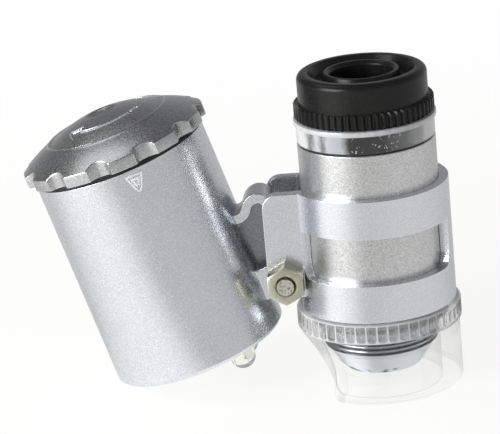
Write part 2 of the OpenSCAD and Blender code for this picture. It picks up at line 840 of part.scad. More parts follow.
// Runs its children once for each of the two lights
module each_light() {
    for (side = [-1, 1])
        translate([led_x, side * led_pitch / 2, 0])
            children();
}

// Lamp faceplate: closes the lamp's lower end and guides the lights
module lamp_faceplate() {
    color([0.82, 0.83, 0.85])
        at_lamp()
            difference() {
                translate([0, 0, face_recess])
                    cylinder(h = face_t, r = lamp_bore_r - push_play);
                each_light()
                    translate([0, 0, face_recess - over])
                        cylinder(h = face_t + 2 * over, d = led_d + 4 * push_play);
            }
}

// Two clear lights with round ends; their flanges lie between the faceplate and the board
module led_lights() {
    led_r = led_d / 2;
    flange_r = led_r + led_flange_w;
    color([0.93, 0.94, 0.90, 0.6])
        at_lamp()
            each_light() {
                translate([0, 0, face_top])
                    cylinder(h = led_flange_t, r = flange_r);
                translate([0, 0, led_r - led_out])
                    cylinder(h = face_top + led_out - led_r, r = led_r);
                translate([0, 0, led_r - led_out])
                    sphere(r = led_r);
            }
}

// Circuit board of the lights
module led_board() {
    color([0.10, 0.35, 0.18])
        at_lamp()
            translate([0, 0, board_z])
                cylinder(h = board_t, r = lamp_bore_r - turn_play);
}

// Battery holder: a sleeve round the stack of cells, with a channel for the contact wire
module battery_holder() {
    channel_w = 1.6;
    channel_deep = 1.2;
    color([0.13, 0.13, 0.14])
        at_lamp()
            difference() {
                tube(board_top, holder_top, lamp_bore_r - turn_play, cell_d / 2 + face_gap);
                translate([-lamp_bore_r - over, -channel_w / 2, board_top - over])
                    cube([over + channel_deep, channel_w, holder_top - board_top + 2 * over]);
            }
}

// Button cells: a stack of equal cells, each with the raised face of its negative pole
module button_cells() {
    pole_h = 0.4;
    pole_r = cell_d * 0.4;
    color([0.80, 0.81, 0.80])
        at_lamp()
            for (i = [0 : cells - 1])
                translate([0, 0, cell_z + i * cell_h]) {
                    cylinder(h = pole_h, r = pole_r);
                    translate([0, 0, pole_h])
                        cylinder(h = cell_h - pole_h, d = cell_d);
                }
}

// Battery spring: a cone-shaped coil with flattened end turns

// A point on the coil's middle line at a number of turns
function coil_point(turns, total, low_r, high_r, low_z, high_z) =
    let (t = turns / total, r = low_r + (high_r - low_r) * t)
    [r * cos(360 * turns), r * sin(360 * turns), low_z + (high_z - low_z) * t];

module battery_spring() {
    turns = 3.5;
    rings_per_turn = 20;
    sides = 6;
    wire_r = spring_wire / 2;
    low_z = board_top + wire_r;
    high_z = cell_z - wire_r;
    low_r = cell_d * 0.41;
    high_r = cell_d * 0.25;
    rings = turns * rings_per_turn;
    points = [for (i = [0 : rings], k = [0 : sides - 1])
        let (p = coil_point(i / rings_per_turn, turns, low_r, high_r, low_z, high_z),
            a = 360 * i / rings_per_turn,
            b = 360 * k / sides,
            out = wire_r * cos(b))
            p + [out * cos(a), out * sin(a), wire_r * sin(b)]];
    sides_list = [for (i = [0 : rings - 1], k = [0 : sides - 1])
        let (n = (k + 1) % sides)
            [i * sides + k, i * sides + n, (i + 1) * sides + n, (i + 1) * sides + k]];
    first_end = [[for (k = [sides - 1 : -1 : 0]) k]];
    last_end = [[for (k = [0 : sides - 1]) rings * sides + k]];
    color([0.85, 0.83, 0.75])
        at_lamp()
            polyhedron(points, concat(sides_list, first_end, last_end));
}

// Cap gasket: the black ring between the lamp and its cap
module cap_gasket() {
    color([0.05, 0.05, 0.05])
        at_lamp()
            tube(lamp_h, gasket_top - turn_play, lamp_r - push_play, lamp_bore_r + push_play);
}

// Battery cap: a scalloped rim, a cone that rises to an outlined disc with a dimple, and a skirt

// A point of the arrow, seen from above, at a distance from the cap's axis and an angle from its front
function arrow_point(r, a) = on_circle([0, 0], r, a - 90);

// The arrow seen from above: a long arc, a short one behind it, and the head
module arrow_outline() {
    steps = 16;
    head_r = 1.1;
    inner_r = arrow_r - arrow_w / 2;
    outer_r = arrow_r + arrow_w / 2;
    for (span = [[-31, 50], [57, 71]])
        polygon(concat(
            [for (i = [0 : steps]) arrow_point(outer_r, span[0] + (span[1] - span[0]) * i / steps)],
            [for (i = [steps : -1 : 0]) arrow_point(inner_r, span[0] + (span[1] - span[0]) * i / steps)]));
    polygon([
        arrow_point(arrow_r - head_r, -34),
        arrow_point(arrow_r + head_r, -34),
        arrow_point(arrow_r, -60)]);
}

// The groove of the arrow follows the disc's slope at an even depth
module arrow_groove() {
    disc_r = disc_d / 2;
    slope = dome_h / (disc_r - dimple_d / 2);
    floor_z = cone_top - arrow_deep;
    intersection() {
        translate([0, 0, cone_top - over])
            linear_extrude(dome_h + 2 * over)
                arrow_outline();
        rotate_extrude()
            polygon([
                [0, floor_z + slope * disc_r],
                [disc_r, floor_z],
                [disc_r, dome_top + over],
                [0, dome_top + over]]);
    }
}

module battery_cap() {
    cap_r = cap_d / 2;
    disc_r = disc_d / 2;
    dimple_r = dimple_d / 2;
    edge = 0.35;
    outline_w = 0.25;
    outline_h = 0.12;
    dimple_deep = 0.35;
    color([0.42, 0.42, 0.43])
        at_lamp()
            difference() {
                union() {
                    rotate_extrude()
                        polygon([
                            [0, gasket_top],
                            [cap_r, gasket_top],
                            [cap_r, rim_top - edge],
                            [cap_r - edge, rim_top],
                            [disc_r + outline_w, cone_top],
                            [disc_r + outline_w / 2, cone_top + outline_h],
                            [disc_r, cone_top],
                            [dimple_r, dome_top],
                            [dimple_r - edge, dome_top - dimple_deep],
                            [0, dome_top - dimple_deep]]);
                    translate([0, 0, skirt_bottom])
                        cylinder(h = gasket_top - skirt_bottom, r = cap_skirt_r);
                }
                translate([0, 0, skirt_bottom - over])
                    cylinder(h = cap_ceiling - skirt_bottom + over, r = cap_skirt_r - cap_skirt_wall);
                for (i = [0 : scallops - 1])
                    rotate([0, 0, (i + 0.5) * 360 / scallops - 90 + cap_phase])
                        translate([cap_r - scallop_depth + scallop_r, 0, gasket_top - over])
                            cylinder(h = rim_h + cone_h + 2 * over, r = scallop_r, $fn = 48);
                arrow_groove();
            }
}

// Cap contact: the sprung brass dish under the cap that presses on the stack of cells
module cap_contact() {
    dish_r = cap_skirt_r - cap_skirt_wall - 2 * slide_play;
    rim_w = 1;
    nose_r = 2;
    slant = contact_t / 3;
    color([0.80, 0.68, 0.40])
        at_lamp()
            rotate_extrude()
                polygon([
                    [0, cell_top],
                    [nose_r, cell_top],
                    [dish_r - rim_w, cap_ceiling - contact_t],
                    [dish_r, cap_ceiling - contact_t],
                    [dish_r, cap_ceiling],
                    [dish_r - rim_w - slant, cap_ceiling],
                    [nose_r - slant, cell_top + contact_t],
                    [0, cell_top + contact_t]]);
}

bracket();
barrel();
objective_mount();
objective_lens();
objective_retainer();
baffle_tube();
hinge_bolt();
hinge_nut();
focus_tube();
eyepiece_cap();
eye_lens();
lens_spacer();
field_lens();
eyepiece_retainer();
clear_base();
lamp_housing();
lamp_faceplate();
led_lights();
led_board();
battery_holder();
button_cells();
battery_spring();
cap_gasket();
battery_cap();
cap_contact();
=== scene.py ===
"""Looks of a folding pocket microscope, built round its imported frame.

Sizes are millimetres in each piece's own frame. A piece is placed in its mesh, in metres, so its object
stays at the origin.
"""
import json
import logging
import math
from collections.abc import Callable, Iterable, Sequence
from dataclasses import dataclass, field
from enum import Enum

import bmesh
import bpy
from mathutils import Matrix, Vector


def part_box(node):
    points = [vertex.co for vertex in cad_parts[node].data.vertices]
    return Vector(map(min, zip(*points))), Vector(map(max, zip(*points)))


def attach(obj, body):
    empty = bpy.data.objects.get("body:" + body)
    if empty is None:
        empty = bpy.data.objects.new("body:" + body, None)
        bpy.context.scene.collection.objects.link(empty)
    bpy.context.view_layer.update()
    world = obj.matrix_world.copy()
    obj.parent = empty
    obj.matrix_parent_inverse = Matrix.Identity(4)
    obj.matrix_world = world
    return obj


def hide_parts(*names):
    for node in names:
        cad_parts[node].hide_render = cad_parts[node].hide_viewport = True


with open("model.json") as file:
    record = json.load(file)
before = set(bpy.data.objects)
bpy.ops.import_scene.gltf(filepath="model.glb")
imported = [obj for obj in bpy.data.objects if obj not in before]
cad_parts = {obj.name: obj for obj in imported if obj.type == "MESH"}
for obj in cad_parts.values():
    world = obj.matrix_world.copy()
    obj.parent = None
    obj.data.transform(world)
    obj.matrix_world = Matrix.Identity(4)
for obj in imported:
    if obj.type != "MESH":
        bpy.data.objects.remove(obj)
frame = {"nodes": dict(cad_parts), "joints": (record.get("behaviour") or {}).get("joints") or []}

LOG = logging.getLogger("pocket_microscope")
MM = 0.001
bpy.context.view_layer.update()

Point2 = tuple[float, float]
Colour = tuple[float, float, float]
Stops = Sequence[tuple[float, Colour]]
WHITE: Colour = (1.0, 1.0, 1.0)
UPRIGHT = Matrix.Identity(4)


class Body(Enum):
    """The moving bodies that a piece can ride on."""

    TUBE = "tube"
    FOCUS = "focus"
    EYEPIECE = "eyepiece"
    BASE = "base"
    LAMP = "lamp"
    GASKET = "gasket"
    CAP = "cap"


class Slot(Enum):
    """The record's material slots, one of which each new piece names."""

    BRACKET = "bracket_satin"
    BARREL = "barrel_silver"
    CHROME = "objective_chrome"
    BLACK = "black_plastic"
    NUT = "nut_nickel"
    CLEAR = "clear_plastic"
    LAMP = "lamp_silver"
    LED = "led_clear"
    RUBBER = "gasket_rubber"
    CAP = "cap_grey"


class Wire:
    """A shader socket that can stand in a Python expression of numbers and other wires."""

    def __init__(self, recipe: "Recipe", socket: bpy.types.NodeSocket) -> None:
        """Wraps a node's output socket."""
        self.recipe = recipe
        self.socket = socket

    def __add__(self, other: object) -> "Wire":
        """self + other."""
        return self.recipe.maths("ADD", self, other)

    def __radd__(self, other: object) -> "Wire":
        """other + self."""
        return self.recipe.maths("ADD", other, self)

    def __sub__(self, other: object) -> "Wire":
        """self - other."""
        return self.recipe.maths("SUBTRACT", self, other)

    def __rsub__(self, other: object) -> "Wire":
        """other - self."""
        return self.recipe.maths("SUBTRACT", other, self)

    def __mul__(self, other: object) -> "Wire":
        """self * other."""
        return self.recipe.maths("MULTIPLY", self, other)

    def __rmul__(self, other: object) -> "Wire":
        """other * self."""
        return self.recipe.maths("MULTIPLY", other, self)

    def __pow__(self, other: object) -> "Wire":
        """self ** other."""
        return self.recipe.maths("POWER", self, other)

    def clamped(self) -> "Wire":
        """The value held between 0 and 1."""
        return self.recipe.node("ShaderNodeClamp", {}, {"Value": self})


class Recipe:
    """A node tree that is built up from wires."""

    def __init__(self, name: str, world: bpy.types.World | None = None) -> None:
        """Starts an empty tree in a new material of that name, or in the world if one is given."""
        self.material = None if world else bpy.data.materials.new(name)
        owner = world or self.material
        owner.use_nodes = True
        self.tree = owner.node_tree
        self.tree.nodes.clear()

    def node(self, kind: str, settings: dict[str, object], inputs: dict[object, object],
             output: object = 0) -> Wire:
        """Makes one node of any type.

        Args:
            kind: the node's type name.
            settings: attributes that are set first. A ramp's stops are given as "stops".
            inputs: socket name or index to a wire or a constant. A colour is given without alpha.
            output: name or index of the socket that is returned.

        Returns:
            The wire of the chosen output.
        """
        made = self.tree.nodes.new(kind)
        for name, value in settings.items():
            if name == "stops":
                self._set_stops(made, value)
            else:
                setattr(made, name, value)
        for key, value in inputs.items():
            socket = made.inputs[key]
            if isinstance(value, Wire):
                self.tree.links.new(value.socket, socket)
            else:
                socket.default_value = (*value, 1.0) if socket.type == "RGBA" else value
        return Wire(self, made.outputs[output]) if made.outputs else None

    @staticmethod
    def _set_stops(ramp: bpy.types.Node, stops: Stops) -> None:
        """Gives a colour ramp its stops."""
        elements = ramp.color_ramp.elements
        while len(elements) < len(stops):
            elements.new(1.0)
        for element, (place, colour) in zip(elements, stops):
            element.position = place
            element.color = (*colour, 1.0)

    def maths(self, operation: str, *values: object) -> Wire:
        """One Math node on wires or numbers."""
        return self.node("ShaderNodeMath", {"operation": operation}, dict(enumerate(values)))

    def vector(self, operation: str, output: str, *values: object) -> Wire:
        """One Vector Math node on wires or vectors."""
        inputs = dict(enumerate(values))
        return self.node("ShaderNodeVectorMath", {"operation": operation}, inputs, output)

    def place(self) -> Wire:
        """The point on the object, in metres."""
        return self.node("ShaderNodeTexCoord", {}, {}, "Object")

    def part(self, vector: Wire, axis: str) -> Wire:
        """A vector's X, Y or Z."""
        return self.node("ShaderNodeSeparateXYZ", {}, {"Vector": vector}, axis)

    def along(self, axis: str) -> Wire:
        """The point's X, Y or Z on the object, in millimetres."""
        return self.part(self.place(), axis) * (1.0 / MM)

    def noise(self, feature_mm: float, detail: float = 2.0, roughness: float = 0.5,
              stretch: Sequence[float] = (1.0, 1.0, 1.0)) -> Wire:
        """Noise between 0 and 1.

        Args:
            feature_mm: size of one blob in millimetres.
            detail: number of finer layers.
            roughness: strength of the finer layers.
            stretch: scale along each axis.

        Returns:
            The noise value.
        """
        moved = self.node("ShaderNodeMapping", {}, {"Vector": self.place(), "Scale": tuple(stretch)})
        return self.node("ShaderNodeTexNoise", {}, {
            "Vector": moved, "Scale": 1.0 / (feature_mm * MM), "Detail": detail, "Roughness": roughness})

    def flakes(self, size_mm: float) -> Wire:
        """A random value for each small cell, between 0 and 1."""
        cells = self.node("ShaderNodeTexVoronoi", {}, {
            "Vector": self.place(), "Scale": 1.0 / (size_mm * MM)}, "Color")
        return self.node("ShaderNodeSeparateColor", {}, {"Color": cells}, "Red")

    def step(self, value: Wire, edge: float, soft: float) -> Wire:
        """0 below an edge and 1 above it, with a soft change between."""
        return ((value - (edge - soft / 2)) * (1.0 / soft)).clamped()

    def pitch_share(self, count: int) -> Wire:
        """The place between 0 and 1 within each of a number of equal sectors round Z."""
        turn = self.maths("ARCTAN2", self.along("Y"), self.along("X"))
        return self.maths("FRACT", turn * (count / math.tau))

    def edge_line(self, radius_mm: float) -> Wire:
        """1 near the surface's sharp edges and 0 elsewhere; the finishes paint highlights and lines
        along edges with it.
        """
        rounded = self.node("ShaderNodeBevel", {"samples": 6}, {"Radius": radius_mm * MM})
        flat = self.node("ShaderNodeNewGeometry", {}, {}, "Normal")
        return ((1.0 - self.vector("DOT_PRODUCT", "Value", rounded, flat)) * 5.0).clamped()

    def ray(self, kind: str) -> Wire:
        """1 for one kind of ray and 0 for the others."""
        return self.node("ShaderNodeLightPath", {}, {}, kind)

    def ramp(self, value: Wire, stops: Stops) -> Wire:
        """A colour from a ramp."""
        return self.node("ShaderNodeValToRGB", {"stops": stops}, {"Fac": value}, "Color")

    def blend(self, factor: Wire, low: object, high: object) -> Wire:
        """Mixes two colours, wires or constants, by a factor."""
        return self.node("ShaderNodeMix", {"data_type": "RGBA", "clamp_factor": True},
                         {0: factor, 6: low, 7: high}, 2)

    def bump(self, height: Wire, distance_mm: float, strength: float = 1.0) -> Wire:
        """A surface normal that follows a height."""
        return self.node("ShaderNodeBump", {}, {
            "Height": height, "Distance": distance_mm * MM, "Strength": strength}, "Normal")

    def glow(self, kind: str, colour: object, strength: float) -> Wire:
        """A Background or Emission shader."""
        return self.node(kind, {}, {"Color": colour, "Strength": strength})

    def principled(self, **inputs: object) -> Wire:
        """One Principled shader; a _ stands for a space in its sockets' names."""
        named = {key.replace("_", " "): value for key, value in inputs.items()}
        return self.node("ShaderNodeBsdfPrincipled", {}, named, "BSDF")

    def mix(self, factor: object, first: Wire, second: Wire) -> Wire:
        """Mixes two shaders."""
        return self.node("ShaderNodeMixShader", {}, {0: factor, 1: first, 2: second})

    def end(self, shader: Wire, kind: str = "ShaderNodeOutputMaterial") -> bpy.types.Material | None:
        """Ends the tree in a shader and returns the material, if it is one."""
        self.node(kind, {}, {"Surface": shader})
        return self.material

    def surface(self, **inputs: object) -> bpy.types.Material:
        """Ends the tree in one Principled shader, given as for principled()."""
        return self.end(self.principled(**inputs))


def scaled(colour: Colour, factor: float) -> Colour:
    """A colour made darker or lighter."""
    return tuple(part * factor for part in colour)


@dataclass(frozen=True)
class Finish:
    """A named finish. Each kind paints its own material."""

    name: str

    def make(self) -> bpy.types.Material:
        """Builds the material."""
        return self.paint(Recipe(self.name))

    def paint(self, recipe: Recipe) -> bpy.types.Material:
        """Builds the finish."""
        raise NotImplementedError


@dataclass(frozen=True)
class SilverLacquer(Finish):
    """Silver paint with fine metallic grain, as on the lamp, the barrel, the bracket and the cap."""

    dark: Colour
    light: Colour
    roughness: float = 0.42
    metallic: float = 0.75
    flake_mm: float = 0.12
    sparkle: float = 0.5
    orange_peel_mm: float = 0.35
    peel_depth_mm: float = 0.004
    peel_strength: float = 0.5
    glints: float = 0.03
    # strength of the painted highlight along sharp edges
    painted_edge_highlight: float = 0.0

    def paint(self, recipe: Recipe) -> bpy.types.Material:
        """Builds the finish."""
        cloud = recipe.noise(5.0, 2.0)
        flake = recipe.flakes(self.flake_mm)
        grain = recipe.noise(self.flake_mm * 2.0, 1.0)
        glint = recipe.step(flake, 1.0 - self.glints, 0.01)
        tone = flake * self.sparkle + grain * (1.0 - self.sparkle) * 0.8 + cloud * 0.2
        colour = recipe.blend((tone + glint).clamped(), self.dark, self.light)
        # painted highlight: sharp edges are lightened toward white
        if self.painted_edge_highlight > 0.0:
            colour = recipe.blend(recipe.edge_line(0.22) * self.painted_edge_highlight, colour, WHITE)
        gloss = (flake - 0.5) * 0.10 + cloud * 0.06 + (self.roughness - 0.03)
        peel = recipe.noise(self.orange_peel_mm, 2.0) + flake * 0.35
        return recipe.surface(
            Base_Color=colour, Metallic=self.metallic, Roughness=gloss,
            Normal=recipe.bump(peel, self.peel_depth_mm, self.peel_strength))


@dataclass(frozen=True)
class SatinMetal(Finish):
    """Plain satin metal with faint rubbing marks, as on the lamp's faceplate."""

    colour: Colour
    roughness: float = 0.34
    worn: float = 0.06
    metallic: float = 1.0
    bump_mm: float = 0.003

    def paint(self, recipe: Recipe) -> bpy.types.Material:
        """Builds the finish."""
        rub = recipe.noise(1.6, 4.0, 0.6, (1.0, 1.0, 0.4))
        fine = recipe.noise(0.10, 1.0)
        low = scaled(self.colour, 1.0 - 2.0 * self.worn)
        colour = recipe.blend(rub * 0.7 + fine * 0.3, low, self.colour)
        gloss = rub * 0.12 + (self.roughness - 0.06)
        return recipe.surface(
            Base_Color=colour, Metallic=self.metallic, Roughness=gloss,
            Normal=recipe.bump(fine + rub, self.bump_mm, 0.4))


@dataclass(frozen=True)
class Plated(Finish):
    """Bright plating with small stains and scratches."""

    colour: Colour
    roughness: float = 0.12
    stain: float = 0.15
    scratch_mm: float = 0.25
    bump_mm: float = 0.004
    bump_strength: float = 0.35
    pits: float = 0.0
    # strength of the painted highlight along sharp edges
    painted_edge_highlight: float = 0.0

    def paint(self, recipe: Recipe) -> bpy.types.Material:
        """Builds the finish."""
        blotch = recipe.noise(0.9, 4.0, 0.65)
        scratch = recipe.noise(self.scratch_mm, 3.0, 0.7, (1.0, 1.0, 3.0))
        colour = recipe.blend(blotch, scaled(self.colour, 1.0 - self.stain), self.colour)
        if self.pits > 0.0:
            pit = recipe.step(recipe.noise(0.28, 1.0), 0.60, 0.08)
            colour = recipe.blend(pit * self.pits, colour, (0.04, 0.04, 0.03))
        # painted highlight: sharp edges are lightened toward a warm white
        if self.painted_edge_highlight > 0.0:
            colour = recipe.blend(recipe.edge_line(0.2) * self.painted_edge_highlight, colour, (1.0, 0.99, 0.90))
        gloss = scratch * 0.10 + blotch * 0.06 + (self.roughness - 0.06)
        return recipe.surface(
            Base_Color=colour, Metallic=1.0, Roughness=gloss,
            Normal=recipe.bump(scratch, self.bump_mm, self.bump_strength))


@dataclass(frozen=True)
class NeckPlating(Finish):
    """Bright plating on the objective's nose, with painted shade in its thread's grooves, and hatched
    grey on its collar.
    """

    thread_low: float
    thread_top: float
    pitch: float
    tip: float
    bright: Colour = (0.78, 0.81, 0.85)
    dull: Colour = (0.34, 0.35, 0.355)
    dark: Colour = (0.10, 0.105, 0.11)

    def paint(self, recipe: Recipe) -> bpy.types.Material:
        """Builds the finish."""
        height = recipe.along("Z")
        blotch = recipe.noise(0.9, 3.0, 0.6)
        hatch = recipe.noise(0.22, 2.0, 0.7, (1.0, 1.0, 0.35))
        wave = recipe.maths("PINGPONG", height - self.thread_low, self.pitch / 2) * (2.0 / self.pitch)
        threaded = recipe.step(height, self.thread_low, 0.1)
        # painted shade: the thread's valleys are darkened
        valley = recipe.step(wave, 0.45, 0.5)
        nose = recipe.blend(threaded * (valley * 0.9 + blotch * 0.2), self.bright, self.dark)
        patch = recipe.step(recipe.noise(1.7, 1.0), 0.56, 0.06)
        nose = recipe.blend(patch * (1.0 - recipe.step(height, self.tip, 0.15)), nose, self.dark)
        collar = recipe.blend(hatch, self.dull, self.bright)
        colour = recipe.blend(recipe.step(height, self.thread_top, 0.1), nose, collar)
        return recipe.surface(
            Base_Color=colour, Metallic=1.0, Roughness=hatch * 0.14 + blotch * 0.06 + 0.06,
            Normal=recipe.bump(hatch + blotch, 0.004, 0.4))


@dataclass(frozen=True)
class MouldedBlack(Finish):
    """Moulded plastic, rubber or a board's lacquer in one dark colour, with light specks and a painted
    edge highlight where one is asked for.
    """

    colour: Colour = (0.012, 0.012, 0.014)
    roughness: float = 0.38
    specular: float = 0.5
    grain_mm: float = 0.15
    grain_deep_mm: float = 0.004
    # strength of the painted highlight along sharp edges, which also turns on the light specks
    painted_edge_highlight: float = 0.0

    def paint(self, recipe: Recipe) -> bpy.types.Material:
        """Builds the finish."""
        grain = recipe.noise(self.grain_mm, 2.0)
        smear = recipe.noise(2.5, 3.0)
        colour = recipe.blend(smear, self.colour, scaled(self.colour, 1.6))
        # light specks, and a painted highlight along sharp edges, lightened toward grey
        if self.painted_edge_highlight > 0.0:
            light_specks = recipe.step(recipe.flakes(0.10), 0.985, 0.008) * 0.16
            edge = recipe.edge_line(0.14) * grain * self.painted_edge_highlight
            colour = recipe.blend((light_specks + edge).clamped(), colour, (0.20, 0.20, 0.19))
        gloss = smear * 0.12 + grain * 0.05 + (self.roughness - 0.08)
        return recipe.surface(
            Base_Color=colour, Roughness=gloss, Specular_IOR_Level=self.specular,
            Normal=recipe.bump(grain, self.grain_deep_mm, 0.3))


@dataclass(frozen=True)
class ClearPlastic(Finish):
    """Clear moulded plastic or glass with a slight waviness."""

    tint: Colour = (0.97, 0.98, 0.98)
    ior: float = 1.49
    roughness: float = 0.03
    wave_mm: float = 1.6
    depth_mm: float = 0.004

    def paint(self, recipe: Recipe) -> bpy.types.Material:
        """Builds the finish."""
        wave = recipe.noise(self.wave_mm, 2.0)
        gloss = recipe.noise(0.6, 3.0) * 0.04 + self.roughness
        return recipe.surface(
            Base_Color=self.tint, Roughness=gloss, Transmission_Weight=1.0, IOR=self.ior,
            Normal=recipe.bump(wave, self.depth_mm, 0.25))


@dataclass(frozen=True)
class ThinClear(Finish):
    """Clear plastic that hardly bends what is behind it, with a fluted ring and a plain skirt, and
    painted light: grey painted shade in the ring's windows for the barrel seen through them, white
    painted light on its ribs, rim and lower ends, and a painted dark line along sharp edges.
    """

    flutes: int
    ring_low: float
    ring_top: float
    tint: Colour = (0.975, 0.98, 0.98)
    skirt_tint: Colour = (0.972, 0.973, 0.970)
    # painted light: white on the ribs, grey shade in the windows, and a dark line along edges
    painted_rib_white: Colour = (0.92, 0.93, 0.94)
    shade: Colour = (0.36, 0.365, 0.36)
    line: Colour = (0.42, 0.43, 0.45)

    def paint(self, recipe: Recipe) -> bpy.types.Material:
        """Builds the finish."""
        height = recipe.along("Z")
        wave = recipe.noise(1.8, 2.0)
        hatch = recipe.noise(0.16, 2.0, 0.7, (1.0, 1.0, 0.3))
        glass = recipe.principled(
            Base_Color=self.tint, Roughness=hatch * 0.04 + 0.02, Transmission_Weight=1.0, IOR=1.45,
            Normal=recipe.bump(wave, 0.004, 0.25))
        through = recipe.node("ShaderNodeBsdfTransparent", {}, {"Color": self.skirt_tint})
        facing = recipe.node("ShaderNodeLayerWeight", {}, {"Blend": 0.5}, "Facing")
        edge = (facing ** 3.0) * 0.45 + 0.07
        # a painted dark line along sharp edges
        painted_edge_line = recipe.node("ShaderNodeBsdfDiffuse", {}, {"Color": self.line})
        clear = recipe.mix(edge.clamped(), through, glass)
        clear = recipe.mix(recipe.edge_line(0.16) * 0.85, clear, painted_edge_line)
        # painted light on the ring: grey in the windows for the barrel seen through them, white on the
        # ribs, rim and lower ends
        off = recipe.maths("ABSOLUTE", recipe.pitch_share(self.flutes) - 0.5)
        rib = recipe.step(off, 0.43, 0.05)
        ring = recipe.step(height, self.ring_low, 0.15)
        rim = recipe.step(height, self.ring_top, 0.12)
        low_end = recipe.step(height - (off ** 4.0) * 9.0, self.ring_low + 0.20, 0.15)
        bars = (rib + rim + (1.0 - low_end)).clamped()
        painted_flute_share = (bars * 0.34 + hatch * 0.2 + 0.20).clamped()
        painted_flute_light = recipe.principled(
            Base_Color=recipe.blend(bars * 0.9 + hatch * 0.1, self.shade, self.painted_rib_white),
            Roughness=hatch * 0.2 + 0.15, Specular_IOR_Level=0.6, Normal=recipe.bump(hatch, 0.006, 0.5))
        return recipe.end(recipe.mix(painted_flute_share * ring, clear, painted_flute_light))


@dataclass(frozen=True)
class PaintedStreakClear(Finish):
    """The clear focus tube with painted light: a painted bright flange, a dark line at its foot, and
    painted reflections streaked across its wall from left to right.
    """

    low: float
    flange: float
    half_width: float
    black: Colour = (0.012, 0.012, 0.012)
    # painted reflections across the tube's wall, from its left edge to its right
    painted_streaks: Stops = (
        (0.0, WHITE), (0.08, (0.95, 0.96, 0.96)), (0.12, (0.20, 0.20, 0.20)), (0.17, (0.75, 0.77, 0.80)),
        (0.205, (0.16, 0.17, 0.18)), (0.24, (0.60, 0.63, 0.67)), (0.35, (0.50, 0.53, 0.57)),
        (0.40, (0.02, 0.02, 0.02)), (0.64, (0.02, 0.02, 0.02)), (0.80, (0.20, 0.21, 0.21)),
        (0.90, (0.55, 0.56, 0.56)), (0.94, WHITE))

    def paint(self, recipe: Recipe) -> bpy.types.Material:
        """Builds the finish."""
        height = recipe.along("Z")
        drift = recipe.noise(1.0, 3.0, 0.65, (1.0, 1.0, 0.5)) - 0.5
        across = recipe.along("X") * (0.5 / self.half_width) + drift * 0.07 + 0.5
        patch = recipe.step(recipe.noise(1.6, 1.0), 0.52, 0.1)
        # painted specks of reflected sparkle
        painted_specks = recipe.step(recipe.flakes(0.14), 0.93, 0.02) * patch
        painted_streaked = recipe.blend(painted_specks * 0.7, recipe.ramp(across, self.painted_streaks), (0.85, 0.86, 0.86))
        # painted light: the flange is made bright
        bright = recipe.step(height, self.flange, 0.05) * (drift * 0.6 + 0.85)
        painted_flange = recipe.blend(bright, painted_streaked, (0.82, 0.84, 0.86))
        over, under = (recipe.step(height, self.low + shift, 0.06) for shift in (0.16, -0.12))
        colour = recipe.blend((over + (1.0 - under)).clamped(), self.black, painted_flange)
        # the painted light is shown on an opaque coat that is mixed over real glass
        seen = recipe.principled(
            Base_Color=colour, Roughness=drift * 0.1 + 0.16, Specular_IOR_Level=0.7, Coat_Weight=0.3,
            Normal=recipe.bump(drift, 0.02, 0.5))
        glass = recipe.principled(
            Base_Color=(0.97, 0.975, 0.975), Roughness=drift * 0.04 + 0.04, Transmission_Weight=1.0,
            IOR=1.45, Normal=recipe.bump(drift, 0.01, 0.4))
        return recipe.end(recipe.mix(0.84, glass, seen))


def stand(name: str, data: bpy.types.ID) -> bpy.types.Object:
    """Makes an object of a mesh, a light or a camera and links it to the scene."""
    made = bpy.data.objects.new(name, data)
    bpy.context.scene.collection.objects.link(made)
    return made


